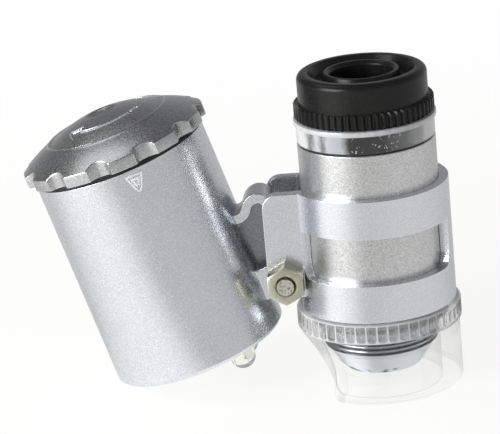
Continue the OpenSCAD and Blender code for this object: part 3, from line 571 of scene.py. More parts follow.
class Shaper:
    """A mesh in the making, in millimetres. Its methods return it, so that they can be chained."""

    def __init__(self) -> None:
        """Starts an empty mesh."""
        self.bm = bmesh.new()

    def lathe(self, outline: Sequence[Point2], steps: int, closed: bool = True) -> "Shaper":
        """Turns an outline of (radius, height) points round Z.

        Args:
            outline: the points, in order.
            steps: number of faces round the axis.
            closed: True for a ring, False for an outline that starts and ends on the axis.

        Returns:
            This mesh.
        """
        line = [self.bm.verts.new((r, 0.0, z)) for r, z in outline]
        pairs = list(zip(line, line[1:] + line[:1] if closed else line[1:]))
        edges = [self.bm.edges.new(pair) for pair in pairs]
        bmesh.ops.spin(self.bm, geom=line + edges, axis=(0, 0, 1), cent=(0, 0, 0), dvec=(0, 0, 0),
                       angle=math.tau, steps=steps, use_merge=True, use_normal_flip=False,
                       use_duplicate=False)
        bmesh.ops.remove_doubles(self.bm, verts=self.bm.verts, dist=1e-5)
        return self.face_outwards()

    def plate(self, outline: Sequence[Point2], y0: float, y1: float) -> "Shaper":
        """Extrudes an outline that is drawn in X and Z from one Y to another."""
        face = self.bm.faces.new([self.bm.verts.new((x, y0, z)) for x, z in outline])
        return self.thicken([face], y1 - y0)

    def thicken(self, faces: list, reach: float) -> "Shaper":
        """Extrudes faces along Y."""
        grown = bmesh.ops.extrude_face_region(self.bm, geom=faces)["geom"]
        moved = [item for item in grown if isinstance(item, bmesh.types.BMVert)]
        bmesh.ops.translate(self.bm, verts=moved, vec=(0.0, reach, 0.0))
        return self.face_outwards()

    def face_outwards(self) -> "Shaper":
        """Turns every face outward."""
        bmesh.ops.recalc_face_normals(self.bm, faces=self.bm.faces)
        return self

    def soften(self, width: float, segments: int = 2, angle: float = 30.0,
               verts: Iterable | None = None) -> "Shaper":
        """Rounds the sharp edges.

        Args:
            width: the rounding's width.
            segments: number of steps in it.
            angle: edges sharper than this angle in degrees are rounded.
            verts: if given, only edges among these vertices.

        Returns:
            This mesh.
        """
        limit = math.radians(angle)
        chosen = set(verts) if verts is not None else None
        edges = [e for e in self.bm.edges
                 if len(e.link_faces) == 2 and e.calc_face_angle(0.0) > limit
                 and (chosen is None or (e.verts[0] in chosen and e.verts[1] in chosen))]
        bmesh.ops.bevel(self.bm, geom=edges, offset=width, offset_type="OFFSET", segments=segments,
                        profile=0.5, affect="EDGES", clamp_overlap=True, material=-1)
        return self

    def poured(self, name: str) -> bpy.types.Mesh:
        """The finished mesh; this one is used up."""
        mesh = bpy.data.meshes.new(name)
        self.bm.to_mesh(mesh)
        self.bm.free()
        return mesh

    def join(self, part: "Shaper") -> "Shaper":
        """Takes another mesh in; the other one is used up."""
        mesh = part.poured("part")
        self.bm.from_mesh(mesh)
        bpy.data.meshes.remove(mesh)
        return self

    def reshape(self, rule: Callable[[Vector], Vector]) -> "Shaper":
        """Moves each vertex to where a rule puts it."""
        for vert in self.bm.verts:
            vert.co = rule(vert.co.copy())
        return self

    def finish(self, name: str, place: Matrix = UPRIGHT, sharp: float = 40.0) -> bpy.types.Object:
        """Makes the object, in metres and in place.

        Args:
            name: the piece's name.
            place: where the piece's own frame stands, in millimetres.
            sharp: edges sharper than this angle in degrees keep a hard line.

        Returns:
            The object, at the origin.
        """
        bmesh.ops.transform(self.bm, matrix=Matrix.Scale(MM, 4) @ place, verts=self.bm.verts)
        limit = math.radians(sharp)
        for face in self.bm.faces:
            face.smooth = True
        for edge in self.bm.edges:
            edge.smooth = len(edge.link_faces) != 2 or edge.calc_face_angle(0.0) < limit
        made = stand(name, self.poured(name))
        made.modifiers.new("weighted_normals", "WEIGHTED_NORMAL").keep_sharp = True
        return made


def arc(centre: Point2, radius: float, start: float, end: float, steps: int = 8) -> list[Point2]:
    """Points on an arc.

    Args:
        centre: the arc's centre.
        radius: its radius.
        start: first angle in degrees.
        end: last angle in degrees.
        steps: number of pieces.

    Returns:
        steps + 1 points.
    """
    angles = [math.radians(start + (end - start) * i / steps) for i in range(steps + 1)]
    return [(centre[0] + radius * math.cos(a), centre[1] + radius * math.sin(a)) for a in angles]


def oblong(left: float, right: float, low: float, high: float) -> list[Point2]:
    """The corners of an upright rectangle, round from the lower left one."""
    return [(left, low), (right, low), (right, high), (left, high)]


def polar(point: Vector) -> Point2:
    """A point's distance from Z and its angle round Z."""
    return math.hypot(point.x, point.y), math.atan2(point.y, point.x)


def on_circle(radius: float, angle: float, z: float) -> Vector:
    """The point at a distance from Z, an angle round Z and a height."""
    return Vector((radius * math.cos(angle), radius * math.sin(angle), z))


def drawn_in(point: Vector, depth: float) -> Vector:
    """The point, moved toward Z by a depth."""
    radius = math.hypot(point.x, point.y)
    factor = (radius - depth) / radius
    return Vector((point.x * factor, point.y * factor, point.z))


def step_index(point: Vector, steps: int, per_cell: int) -> int:
    """The number, within its cell, of the turning step that a point stands on."""
    return round(math.atan2(point.y, point.x) / math.tau * steps) % per_cell


def cut_away(target: Shaper, cutter: Shaper) -> None:
    """Takes one mesh out of another.

    Args:
        target: the mesh that is cut; it is replaced by the result.
        cutter: the mesh that is taken out; it is used up.
    """
    body, tool = (stand(name, shaper.poured(name))
                  for name, shaper in (("cut_target", target), ("cut_tool", cutter)))
    modifier = body.modifiers.new("cut", "BOOLEAN")
    modifier.operation = "DIFFERENCE"
    modifier.solver = "EXACT"
    modifier.object = tool
    graph = bpy.context.evaluated_depsgraph_get()
    target.bm = bmesh.new()
    target.bm.from_mesh(body.evaluated_get(graph).to_mesh())
    for made in (body, tool):
        mesh = made.data
        bpy.data.objects.remove(made)
        bpy.data.meshes.remove(mesh)
    bmesh.ops.remove_doubles(target.bm, verts=target.bm.verts, dist=1e-4)
    bmesh.ops.dissolve_limit(target.bm, angle_limit=math.radians(0.5), verts=target.bm.verts,
                             edges=target.bm.edges)


@dataclass
class Span:
    """A CAD node's box at rest, in millimetres."""

    node: str
    low: Vector = field(init=False)
    high: Vector = field(init=False)

    def __post_init__(self) -> None:
        """Reads the box from the frame."""
        low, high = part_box(self.node)
        self.low = low / MM
        self.high = high / MM


def joint(name: str) -> dict:
    """The frame's joint of that name."""
    return next(j for j in frame["joints"] if j["name"] == name)


def joint_point(name: str) -> Vector:
    """A joint's place, in millimetres."""
    return Vector(joint(name)["pos_m"]) / MM


def adopt(piece: bpy.types.Object, body: Body, slot: Slot, finish: Finish, *nodes: str) -> None:
    """Dresses a piece and ties it to the frame.

    Args:
        piece: the new piece.
        body: the body that it moves with.
        slot: the record's slot that it stands in; not used.
        finish: its finish.
        nodes: the CAD nodes that it stands for.
    """
    piece.data.materials.clear()
    piece.data.materials.append(finish.make())
    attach(piece, body.value)
    if nodes:
        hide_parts(*nodes)
    LOG.info("%s: %d faces on %s", piece.name, len(piece.data.polygons), body.value)


def dress(finish: Finish, *nodes: str) -> None:
    """Gives CAD nodes their material."""
    material = finish.make()
    for node in nodes:
        mesh = frame["nodes"][node].data
        for index in range(len(mesh.materials)):
            mesh.materials[index] = material
        if not mesh.materials:
            mesh.materials.append(material)
        LOG.info("%s: dressed", node)


@dataclass
class OpticalTube:
    """The barrel, the bracket round it, the objective's mount and the hinge's nut."""

    wall: float = 0.6
    band_gap: float = 0.03
    band_steps: int = 144
    edge: float = 0.16
    window_sill: float = 4.5
    window_h: float = 5.6
    window_corner: float = 1.5
    window_left: float = 27.0
    window_right: float = 17.0
    window_steps: int = 40
    lug_t: float = 1.3
    lug_corner: float = 1.8
    lug_tip: float = 2.2
    root_x: float = 7.6
    sunk: float = 0.02
    plug_inset: float = 0.62
    collar_r: float = 6.92
    flange_t: float = 0.2
    thread_top: float = 6.6
    thread_low: float = 4.9
    thread_r: float = 6.7
    thread_deep: float = 0.36
    ridges: int = 3
    nose_r: float = 6.2
    nose_tip_r: float = 4.8
    nut_hole: float = 1.01
    nut_sink: float = 1.3
    nut_sink_deep: float = 0.35
    nut_slope: float = 28.0

    def build(self) -> None:
        """Builds and dresses the group."""
        self.barrel()
        self.bracket()
        self.objective_mount()
        self.nut()
        dress(Plated("bolt_plating", (0.80, 0.79, 0.69), 0.22, 0.5, 0.3, 0.04, 0.9, pits=0.55),
              "hinge_bolt")
        dress(MouldedBlack("baffle_black", roughness=0.6), "baffle_tube")
        dress(MouldedBlack("retainer_black", roughness=0.5), "objective_retainer")
        dress(ClearPlastic("objective_glass", (0.90, 0.94, 1.0), 1.52, 0.0), "objective_lens")

    def barrel(self) -> None:
        """The silver tube, with a rounded top edge."""
        span = Span("barrel")
        outer = span.high.x
        shape = Shaper().lathe(oblong(outer - self.wall, outer, span.low.z, span.high.z), 160)
        finish = SilverLacquer("barrel_lacquer", (0.39, 0.395, 0.39), (0.81, 0.82, 0.815), 0.33, 0.92,
                               flake_mm=0.10, sparkle=0.7, glints=0.06)
        adopt(shape.soften(0.18, 3).finish("barrel_tube"), Body.TUBE, Slot.BARREL, finish, "barrel")

    def bracket(self) -> None:
        """The band with its window, split between two lugs."""
        span = Span("bracket")
        low, high, outer = span.low.z, span.high.z, span.high.x
        inner = Span("barrel").high.x + self.band_gap
        lug_face = -Span("hinge_nut").high.y
        lug_y = lug_face - self.lug_t
        shape = Shaper().lathe(oblong(inner, outer, low, high), self.band_steps)
        split = oblong(span.low.x - 1.0, -inner * 0.6, low - 1.0, high + 1.0)
        cut_away(shape, Shaper().plate(split, -lug_y, lug_y))
        cut_away(shape, self.window(outer, inner, low + self.window_sill))
        shape.soften(self.edge, 3, 38.0)
        for side in (-1, 1):
            shape.join(self.lug(span.low.x, high, side * lug_y, side * lug_face))
        finish = SilverLacquer(
            "bracket_satin_metal", (0.60, 0.62, 0.645), (0.85, 0.875, 0.91), 0.26, 0.9,
            flake_mm=0.09, sparkle=0.45, glints=0.02, painted_edge_highlight=0.8, peel_strength=0.3)
        adopt(shape.finish("hinge_bracket"), Body.TUBE, Slot.BRACKET, finish, "bracket")

    def window(self, outer: float, inner: float, sill: float) -> Shaper:
        """The window's cutter: a wedge that is cut along the band's radii, with round lower corners.

        Args:
            outer: the band's outer radius.
            inner: its bore's radius.
            sill: height of the window's lower edge.

        Returns:
            The cutter.
        """
        sweep_from = math.radians(self.window_left - 180.0)
        sweep_to = math.radians(-self.window_right)
        corner = self.window_corner
        shape = Shaper()
        rings = []
        for i in range(self.window_steps + 1):
            angle = sweep_from + (sweep_to - sweep_from) * i / self.window_steps
            run = outer * min(angle - sweep_from, sweep_to - angle)
            drop = corner - math.sqrt(max(0.0, corner ** 2 - max(0.0, corner - run) ** 2))
            corners = oblong(inner - 1.0, outer + 1.0, sill + drop, sill + self.window_h)
            ring = [shape.bm.verts.new(on_circle(r, angle, z)) for r, z in corners]
            rings.append(shape.bm.faces.new(ring))
        for one, two in zip(rings, rings[1:]):
            bmesh.ops.bridge_loops(shape.bm, edges=list(one.edges) + list(two.edges))
        bmesh.ops.delete(shape.bm, geom=rings[1:-1], context="FACES_ONLY")
        return shape.face_outwards()

    def lug(self, left: float, top: float, y0: float, y1: float) -> Shaper:
        """One lug, round under the pin and at its upper corner.

        Args:
            left: X of its free edge.
            top: its upper edge.
            y0: its inner face.
            y1: its outer face.

        Returns:
            The lug.
        """
        pin = joint_point("lamp_fold")
        corner = self.lug_corner
        top -= self.sunk
        y0 += math.copysign(self.sunk, y0)
        slant = 1.0 / math.tan(math.radians(self.window_left))
        part = Shaper().plate(
            [(-self.root_x, top)]
            + arc((left + corner, top - corner), corner, 90.0, 180.0)
            + arc((pin.x, pin.z), self.lug_tip, 180.0, 270.0, 12)
            + [(-self.root_x, pin.z - self.lug_tip)], y0, y1)

        def end_in_band(point: Vector) -> Vector:
            """Keeps the root behind the window's radial end."""
            limit = -max(self.root_x, abs(point.y) * slant + self.sunk)
            return Vector((min(point.x, limit), point.y, point.z))

        return part.soften(0.14, 3).reshape(end_in_band)

    def objective_mount(self) -> None:
        """The ridged neck and the cone nose, bored for the lens."""
        span, lens, barrel = Span("objective_mount"), Span("objective_lens"), Span("barrel")
        low, lens_r = span.low.z, lens.high.x + 0.02
        plug_r = barrel.high.x - self.plug_inset
        flange_low = barrel.low.z - self.flange_t
        valley_r = self.thread_r - self.thread_deep
        pitch = (self.thread_top - self.thread_low) / self.ridges
        outline = [(lens_r, lens.low.z), (lens_r, span.high.z), (plug_r, span.high.z),
                   (plug_r, barrel.low.z), (span.high.x, barrel.low.z), (span.high.x, flange_low),
                   (self.collar_r, flange_low), (self.collar_r, self.thread_top)]
        for i in range(self.ridges):
            top = self.thread_top - i * pitch
            outline += [(valley_r, top - pitch * 0.08), (self.thread_r, top - pitch * 0.38),
                        (self.thread_r, top - pitch * 0.62), (valley_r, top - pitch * 0.92)]
        outline += [(self.nose_r, self.thread_low - 0.05), (self.nose_r, self.thread_low - 0.35),
                    (self.nose_tip_r, low + 0.25), (self.nose_tip_r - 0.25, low),
                    (lens_r - 0.5, low), (lens_r - 0.5, lens.low.z)]
        shape = Shaper().lathe(outline, 160).soften(0.05, 2, 25.0)
        finish = NeckPlating("objective_plating", self.thread_low, self.thread_top, pitch, low + 0.55)
        adopt(shape.finish("objective_neck"), Body.TUBE, Slot.CHROME, finish, "objective_mount")

    def nut(self) -> None:
        """The hexagon nut: its corners are chamfered and its hole is countersunk."""
        span = Span("hinge_nut")
        flat_r = (span.high.x - span.low.x) / 2
        height = span.high.y - span.low.y
        pin = joint_point("lamp_fold")
        slope = math.tan(math.radians(self.nut_slope))
        sector = math.pi / 3

        def hexagon(point: Vector) -> Vector:
            """Moves the rim's points out to the six flats."""
            radius, angle = polar(point)
            if radius < flat_r - 0.0005:
                return point
            turn = (angle + sector / 2) % sector - sector / 2
            wide = flat_r / math.cos(turn)
            drop = (wide - flat_r) * slope
            return on_circle(wide, angle, point.z - drop if point.z > height / 2 else point.z)

        shape = Shaper().lathe([
            (self.nut_hole, 0.0), (flat_r, 0.0), (flat_r, height), (flat_r - 0.001, height),
            (self.nut_sink, height), (self.nut_hole, height - self.nut_sink_deep)], 96)
        shape.reshape(hexagon).soften(0.05, 2, 24.0)
        turned = Matrix.Translation((pin.x, span.high.y, pin.z)) @ Matrix.Rotation(math.pi / 2, 4, "X")
        finish = Plated("nut_nickel_plating", (0.66, 0.65, 0.52), 0.34, 0.35, 0.2, 0.02, 0.8, pits=0.12,
                        painted_edge_highlight=0.8)
        adopt(shape.finish("hexagon_nut", turned), Body.TUBE, Slot.NUT, finish, "hinge_nut")


@dataclass
class Eyepiece:
    """The clear focus tube and the black eyepiece with its knurl and lenses."""

    tube_inset: float = 0.68
    focus_bore: float = 6.62
    flange_t: float = 0.6
    lip_round: float = 0.75
    recess_r: float = 6.2
    recess: float = 1.15
    hub_r: float = 4.35
    hole_r: float = 3.65
    cup_r: float = 7.55
    waist: float = 0.2
    plug_r: float = 6.51
    knurl_low: float = 32.8
    knurl_high: float = 34.6
    knurl_edge: float = 0.18
    teeth: int = 60
    tooth_h: float = 0.28
    per_tooth: int = 4

    def build(self) -> None:
        """Builds and dresses the group."""
        self.focus_tube()
        self.cup()
        dress(ClearPlastic("eyepiece_glass", (0.86, 0.91, 0.97), 1.52, 0.0), "eye_lens", "field_lens")
        dress(MouldedBlack("spacer_black", roughness=0.55), "lens_spacer", "eyepiece_retainer")

    def focus_tube(self) -> None:
        """The clear tube: a plug in the barrel, the band that shows, and a thin flange."""
        span, barrel = Span("focus_tube"), Span("barrel")
        bore_r, band_r = self.focus_bore, barrel.high.x
        plug_r = band_r - self.tube_inset
        band_low = barrel.high.z + 0.1
        flange_low = span.high.z - self.flange_t
        shape = Shaper().lathe([
            (bore_r, span.low.z), (plug_r, span.low.z), (plug_r, band_low), (band_r, band_low),
            (band_r, flange_low), (span.high.x, flange_low), (span.high.x, span.high.z),
            (bore_r, span.high.z)], 160)
        finish = PaintedStreakClear("focus_tube_clear", band_low, flange_low, band_r)
        adopt(shape.soften(0.1, 2).finish("focus_sleeve"), Body.FOCUS, Slot.CLEAR, finish, "focus_tube")

    def cup(self) -> None:
        """The eyecup with its ring-shaped recess, the plug below it and the knurled ring."""
        span, lens = Span("eyepiece_cap"), Span("eye_lens")
        top, seat, lens_r = span.high.z, lens.high.z, lens.high.x + 0.02
        floor = top - self.recess
        waist_r, waist_z = self.cup_r - self.waist, self.knurl_high - 0.4
        shape = Shaper().lathe(
            [(lens_r, span.low.z), (self.plug_r, span.low.z), (self.plug_r, self.knurl_low),
             (waist_r, self.knurl_low), (waist_r, waist_z), (self.cup_r, waist_z)]
            + arc((self.cup_r - self.lip_round, top - self.lip_round), self.lip_round, 0.0, 90.0, 7)
            + [(self.recess_r, top), (self.recess_r - 0.4, floor), (self.hub_r + 0.15, floor),
               (self.hub_r, top - 0.1), (self.hole_r + 0.3, top - 0.1), (self.hole_r, top - 0.5),
               (self.hole_r, seat), (lens_r, seat)], 144)
        shape.soften(0.07, 2, 35.0).join(self.knurl(span.high.x))
        # the last number is the strength of the painted edge highlight
        finish = MouldedBlack("eyecup_black", (0.009, 0.009, 0.0085), 0.27, 0.24, 0.12, 0.012, 0.2)
        adopt(shape.finish("eyecup"), Body.EYEPIECE, Slot.BLACK, finish, "eyepiece_cap")

    def knurl(self, tip_r: float) -> Shaper:
        """The toothed ring: each tooth is one step out and one step in.

        Args:
            tip_r: radius over the teeth.

        Returns:
            The ring.
        """
        steps = self.teeth * self.per_tooth
        low, high, edge = self.knurl_low, self.knurl_high, self.knurl_edge
        inner = self.cup_r - 0.3

        def tooth(point: Vector) -> Vector:
            """Sinks every second pair of points to the valleys."""
            if polar(point)[0] < tip_r - edge - 0.01:
                return point
            valley = step_index(point, steps, self.per_tooth) >= self.per_tooth // 2
            return drawn_in(point, self.tooth_h if valley else 0.0)

        ring = [(inner, low), (tip_r - edge, low), (tip_r, low + edge), (tip_r, high - edge),
                (tip_r - edge, high), (inner, high)]
        return Shaper().lathe(ring, steps).reshape(tooth)


@dataclass
class ClearBase:
    """The clear fluted ring with its thick skirt."""

    bore_r: float = 6.97
    foot_h: float = 7.6
    foot_r: float = 9.4
    foot_edge: float = 0.3
    socket_r: float = 8.15
    socket_z: float = 8.3
    ring_edge: float = 0.22
    flutes: int = 48
    flute_deep: float = 0.34
    flute_margin: float = 0.34
    flute_rows: int = 6
    per_flute: int = 8
    cut_x: float = 5.5
    cut_z: float = 2.9
    cut_corner: float = 1.1
    bow: Sequence[Point2] = ((0.10, 0.25), (0.26, 0.52), (0.46, 0.76), (0.72, 0.93), (1.0, 1.0))

    def build(self) -> None:
        """Builds and dresses the base."""
        span = Span("clear_base")
        ring_r, top = span.high.x, span.high.z
        low, high = self.foot_h + self.flute_margin, top - self.flute_margin - 0.1
        rows = [(ring_r, low + (high - low) * i / self.flute_rows) for i in range(self.flute_rows + 1)]
        shape = Shaper().lathe(
            [(self.bore_r, 0.0), (self.foot_r - self.foot_edge, 0.0), (self.foot_r, self.foot_edge),
             (self.foot_r, self.foot_h - 0.02), (ring_r, self.foot_h + 0.04)]
            + rows
            + [(ring_r, top - self.ring_edge), (ring_r - self.ring_edge, top),
               (self.socket_r, top), (self.socket_r, self.socket_z), (self.bore_r, self.socket_z)],
            self.flutes * self.per_flute)
        shape.reshape(lambda point: self.flute(point, ring_r, low, high))
        cut_away(shape, self.cut(ring_r))
        finish = ThinClear("base_clear", self.flutes, self.foot_h, top - 0.15)
        adopt(shape.finish("fluted_base", sharp=28.0), Body.BASE, Slot.CLEAR, finish, "clear_base")

    def cut(self, ring_r: float) -> Shaper:
        """The cutter that opens the skirt toward the lamp, with a round corner and a bowed edge."""
        corner, far, roof = self.cut_corner, ring_r * 2, self.foot_h - 0.2
        bow = [(-(self.cut_x + out * (ring_r - self.cut_x)), self.cut_z + up * (roof - self.cut_z))
               for out, up in self.bow]
        return Shaper().plate([(-self.cut_x, self.cut_z)]
                              + arc((corner - self.cut_x, corner), corner, 180.0, 270.0, 6)
                              + [(corner - self.cut_x, -1.0), (-far, -1.0), (-far, roof)]
                              + bow[::-1], -far, far)

    def flute(self, point: Vector, ring_r: float, low: float, high: float) -> Vector:
        """Presses a row of windows with round lower ends into the ring.

        Args:
            point: a vertex.
            ring_r: the ring's radius.
            low: the windows' lower ends.
            high: their upper ends.

        Returns:
            The vertex's new place.
        """
        if polar(point)[0] < ring_r - 0.01 or not low - 0.001 <= point.z <= high + 0.001:
            return point
        index = step_index(point, self.flutes * self.per_flute, self.per_flute)
        across = abs(index - self.per_flute / 2) / (self.per_flute / 2)
        along = (point.z - low) / (high - low)
        start = 0.02 if across < 0.3 else 0.12
        inside = across < 0.6 and start < along < 0.99
        return drawn_in(point, self.flute_deep if inside else 0.0)


@dataclass
class Lamp:
    """The lamp's housing, lights, gasket and cap, built in the lamp's own frame."""

    pin_rise: float = 5.4
    housing_h: float = 25.7
    housing_r: float = 10.35
    foot_r: float = 10.48
    foot_bevel: float = 0.45
    wall: float = 1.2
    root_sink: float = 0.9
    ear_r: float = 2.1
    ear_root: float = 1.9
    ear_y: float = 2.8
    hook_y: float = 2.2
    hook_t: float = 1.25
    hook_z: float = 13.8
    hook_step: float = 1.6
    hook_curl: float = 1.08
    hook_end: float = 0.25
    hook_reach: float = 1.5
    hook_root: float = 0.05
    web_t: float = 2.0
    web_part: tuple[int, int] = (18, 24)  # the points of the hook's line that it follows
    mark_w: float = 2.15
    mark_ratio: float = 1.3
    mark_drop: float = 0.56
    mark_turn: float = 15.5
    mark_sink: float = 0.1
    mark_relief: float = 0.2
    mark_line: float = 0.20
    mark_round: float = 1.2
    mark_shares: Sequence[Point2] = ((1.0, 1.0), (0.55, 1.35))  # of its size and of its line's width
    gasket_t: float = 0.5
    cap_r: float = 11.2
    rim_h: float = 1.4
    cone_h: float = 1.9
    dome_h: float = 1.5
    cone_bulge: float = 0.1
    dome_bulge: float = 0.12
    ceiling_rise: float = 1.5
    skirt_h: float = 3.0
    skirt_t: float = 1.1
    skirt_gap: float = 0.08
    scallops: int = 12
    scallop_r: float = 1.55
    scallop_deep: float = 0.85
    per_scallop: int = 30
    cap_phase: float = 12.0
    disc_r: float = 7.1
    disc_line_w: float = 0.3
    disc_line_h: float = 0.14
    disc_rows: int = 24
    dimple_r: float = 2.0
    arrow_r: float = 4.5
    arrow_w: float = 0.36
    arrow_deep: float = 0.15
    arrow_lift: float = 0.03
    arrow_head: float = 1.1
    arrow_body: Point2 = (-36.0, 50.0)  # degrees from the cap's front
    arrow_tail: Point2 = (57.0, 71.0)
    arrow_tip: Point2 = (-34.0, -60.0)
    body_inset: float = 5.0
    tip_inset: float = 2.0
    body_half: float = 0.11
    tip_half: float = 0.05
    led_r: float = 1.5
    led_rim: float = 0.35
    led_rim_z: Point2 = (2.0, 3.0)
    led_out: float = 3.6
    led_x: float = 4.7
    led_pitch: float = 4.6

    def __post_init__(self) -> None:
        """Works out the lamp's frame from the joints, and the cap's heights."""
        axis = Vector(joint("cap_lift")["axis"]).normalized()
        point, pin = joint_point("cap_turn"), joint_point("lamp_fold")
        origin = point + axis * ((pin - point).dot(axis) - self.pin_rise)
        side = Vector((0.0, 1.0, 0.0)).cross(axis)
        turn = Matrix((side, Vector((0.0, 1.0, 0.0)), axis)).transposed().to_4x4()
        self.place = Matrix.Translation(origin) @ turn
        self.pin_x = (pin - origin).dot(side)
        self.root = self.housing_r - self.root_sink
        self.cap_z = self.housing_h + self.gasket_t
        self.rim_z = self.cap_z + self.rim_h
        self.cone_z = self.rim_z + self.cone_h
        self.cone_foot = self.disc_r + self.disc_line_w

    def build(self) -> None:
        """Builds and dresses the group."""
        self.housing()
        self.gasket()
        self.cap()
        self.lights()
        dress(SatinMetal("faceplate_satin", (0.70, 0.71, 0.73), 0.4), "lamp_faceplate")
        dress(MouldedBlack("board_lacquer", (0.03, 0.16, 0.07), 0.3), "led_board")
        dress(MouldedBlack("holder_black", roughness=0.5), "battery_holder")
        dress(Plated("cell_plating", (0.72, 0.73, 0.72), 0.22), "button_cells")
        dress(Plated("spring_plating", (0.70, 0.66, 0.55), 0.25), "battery_spring")
        dress(Plated("contact_plating", (0.78, 0.62, 0.30), 0.25), "cap_contact")

    def add(self, shape: Shaper, name: str, body: Body, slot: Slot, finish: Finish, *nodes: str) -> None:
        """Puts a shape in the lamp's frame and adopts it."""
        adopt(shape.finish(name, self.place), body, slot, finish, *nodes)

    def housing(self) -> None:
        """The silver cylinder with its ear, its latch hook and the arrow mark."""
        bore = self.housing_r - self.wall
        shape = Shaper().lathe([
            (bore, 0.0), (self.foot_r - self.foot_bevel, 0.0), (self.foot_r, self.foot_bevel),
            (self.housing_r, self.housing_h), (bore, self.housing_h)], 192)
        shape.soften(0.07, 2).join(self.ear()).join(self.hook())
        # painted shade: the web, one casting with the housing, gets a much darker lacquer for its shaded
        # corner
        self.add(self.web(), "hinge_web", Body.LAMP, Slot.LAMP,
                 SilverLacquer("web_painted_shade_lacquer", (0.14, 0.145, 0.15), (0.38, 0.39, 0.40), 0.34, 0.9))
        # painted highlight: the raised mark is lacquered near white for the light caught on its edges
        self.add(self.mark(), "arrow_mark", Body.LAMP, Slot.LAMP,
                 SilverLacquer("mark_painted_highlight", (0.92, 0.93, 0.94), WHITE, 0.30, 0.15))
        finish = SilverLacquer(
            "lamp_lacquer", (0.50, 0.515, 0.535), (0.86, 0.885, 0.93), 0.28, 0.95,
            flake_mm=0.10, sparkle=0.4, glints=0.03, painted_edge_highlight=0.8, peel_strength=0.3)
        self.add(shape, "lamp_shell", Body.LAMP, Slot.LAMP, finish, "lamp_housing")

    def ear(self) -> Shaper:
        """The ear that hangs on the hinge bolt."""
        reach = self.pin_x - self.root
        span = math.hypot(reach, self.ear_root)
        lean = math.degrees(math.atan2(self.ear_root, -reach) - math.acos(self.ear_r / span))
        return Shaper().plate([(self.root, self.pin_rise - self.ear_root)]
                              + arc((self.pin_x, self.pin_rise), self.ear_r, -lean, lean, 16)
                              + [(self.root, self.pin_rise + self.ear_root)],
                              -self.ear_y, self.ear_y).soften(0.18, 3)

    def hook_line(self) -> list[Point2]:
        """The hook's middle line: a level root, a step up of two equal arcs, and a curl down."""
        start = self.housing_r + self.hook_root
        curl = self.pin_x + self.hook_reach - self.hook_t / 2 - self.hook_curl
        top = self.hook_z + self.hook_step
        run = curl - start
        radius = (run ** 2 + self.hook_step ** 2) / (4.0 * self.hook_step)
        bend = math.degrees(2.0 * math.atan2(self.hook_step, run))
        return ([(self.root, self.hook_z)]
                + arc((start, self.hook_z + radius), radius, -90.0, bend - 90.0, 9)
                + arc((curl, top - radius), radius, 90.0 + bend, 90.0, 9)[1:]
                + arc((curl, top - self.hook_curl), self.hook_curl, 90.0, 0.0, 10)[1:]
                + [(curl + self.hook_curl, top - self.hook_curl - self.hook_end)])

    def hook(self) -> Shaper:
        """The latch hook: a bent strip with rounded edges."""
        line = self.hook_line()
        half = self.hook_t / 2
        upper, lower = [], []
        for (x, z), back, ahead in zip(line, line[:1] + line, line[1:] + line[-1:]):
            run = math.hypot(ahead[0] - back[0], ahead[1] - back[1])
            nx, nz = (back[1] - ahead[1]) / run, (ahead[0] - back[0]) / run
            upper.append((x + half * nx, z + half * nz))
            lower.append((x - half * nx, z - half * nz))
        return Shaper().plate(upper + lower[::-1], -self.hook_y, self.hook_y).soften(0.16, 3, 40.0)

    def web(self) -> Shaper:
        """The web that fills the corner between the lamp's side, the hook and the ear."""
        follow = self.hook_line()[slice(*self.web_part)]
        return Shaper().plate([(self.root, self.pin_rise), (self.root, self.hook_z),
                               (self.housing_r + self.hook_root, self.hook_z)]
                              + follow + [(self.pin_x - self.ear_r + 0.02, self.pin_rise)],
                              -self.web_t / 2, self.web_t / 2).soften(0.12, 2)

    def mark(self) -> Shaper:
        """The raised arrow mark: two hollow triangles, one in the other, that point down."""
        half = self.mark_w / 2
        high = self.mark_w * self.mark_ratio
        middle = self.housing_h - self.mark_drop - high / 3
        turn = math.radians(self.mark_turn)
        part = Shaper()
        for share, wide in self.mark_shares:
            base = middle + high / 3 * share
            corners = ((-half * share, base), (half * share, base), (0.0, middle - high * 2 / 3 * share))
            new = [part.bm.verts.new((x, 0.0, z)) for x, z in corners]
            part.bm.faces.new(new)
            bmesh.ops.bevel(part.bm, geom=new[2:], offset=self.mark_round * share, offset_type="OFFSET",
                            segments=8, profile=0.5, affect="VERTICES", material=-1)
            part.bm.normal_update()
            face = max(part.bm.faces, key=lambda item: len(item.verts))
            bmesh.ops.inset_individual(part.bm, faces=[face], thickness=self.mark_line * wide,
                                       use_even_offset=True)
            bmesh.ops.delete(part.bm, geom=[face], context="FACES_ONLY")

        def wrap(point: Vector) -> Vector:
            """Lays the tile on the cylinder."""
            angle = -math.pi / 2 + point.x / self.housing_r + turn
            return on_circle(self.housing_r - self.mark_sink - point.y, angle, point.z)

        part.thicken(list(part.bm.faces), -self.mark_relief - self.mark_sink)
        return part.soften(0.06, 2).reshape(wrap).face_outwards()

    def gasket(self) -> None:
        """The black ring between the housing and the cap."""
        inner, outer = self.housing_r - self.wall + 0.02, self.housing_r - 0.02
        ring = oblong(inner, outer, self.housing_h, self.cap_z)
        self.add(Shaper().lathe(ring, 160).soften(0.12, 3), "cap_seal", Body.GASKET, Slot.RUBBER,
                 MouldedBlack("gasket_rubber_black", (0.006, 0.006, 0.006), 0.55), "cap_gasket")

    def arrow_depth(self, radius: float, angle: float) -> float:
        """Depth of the curved arrow in the cap's disc.

        Args:
            radius: distance from the cap's axis.
            angle: angle from the cap's front, in degrees.

        Returns:
            The depth there, or 0 beside the arrow.
        """
        off = abs(radius - self.arrow_r)
        on_line = off <= self.arrow_w / 2 + 0.001 and any(
            first <= angle <= last for first, last in (self.arrow_body, self.arrow_tail))
        base, tip = self.arrow_tip
        on_head = tip <= angle <= base and off <= self.arrow_head * (angle - tip) / (base - tip)
        return self.arrow_deep if on_line or on_head else 0.0

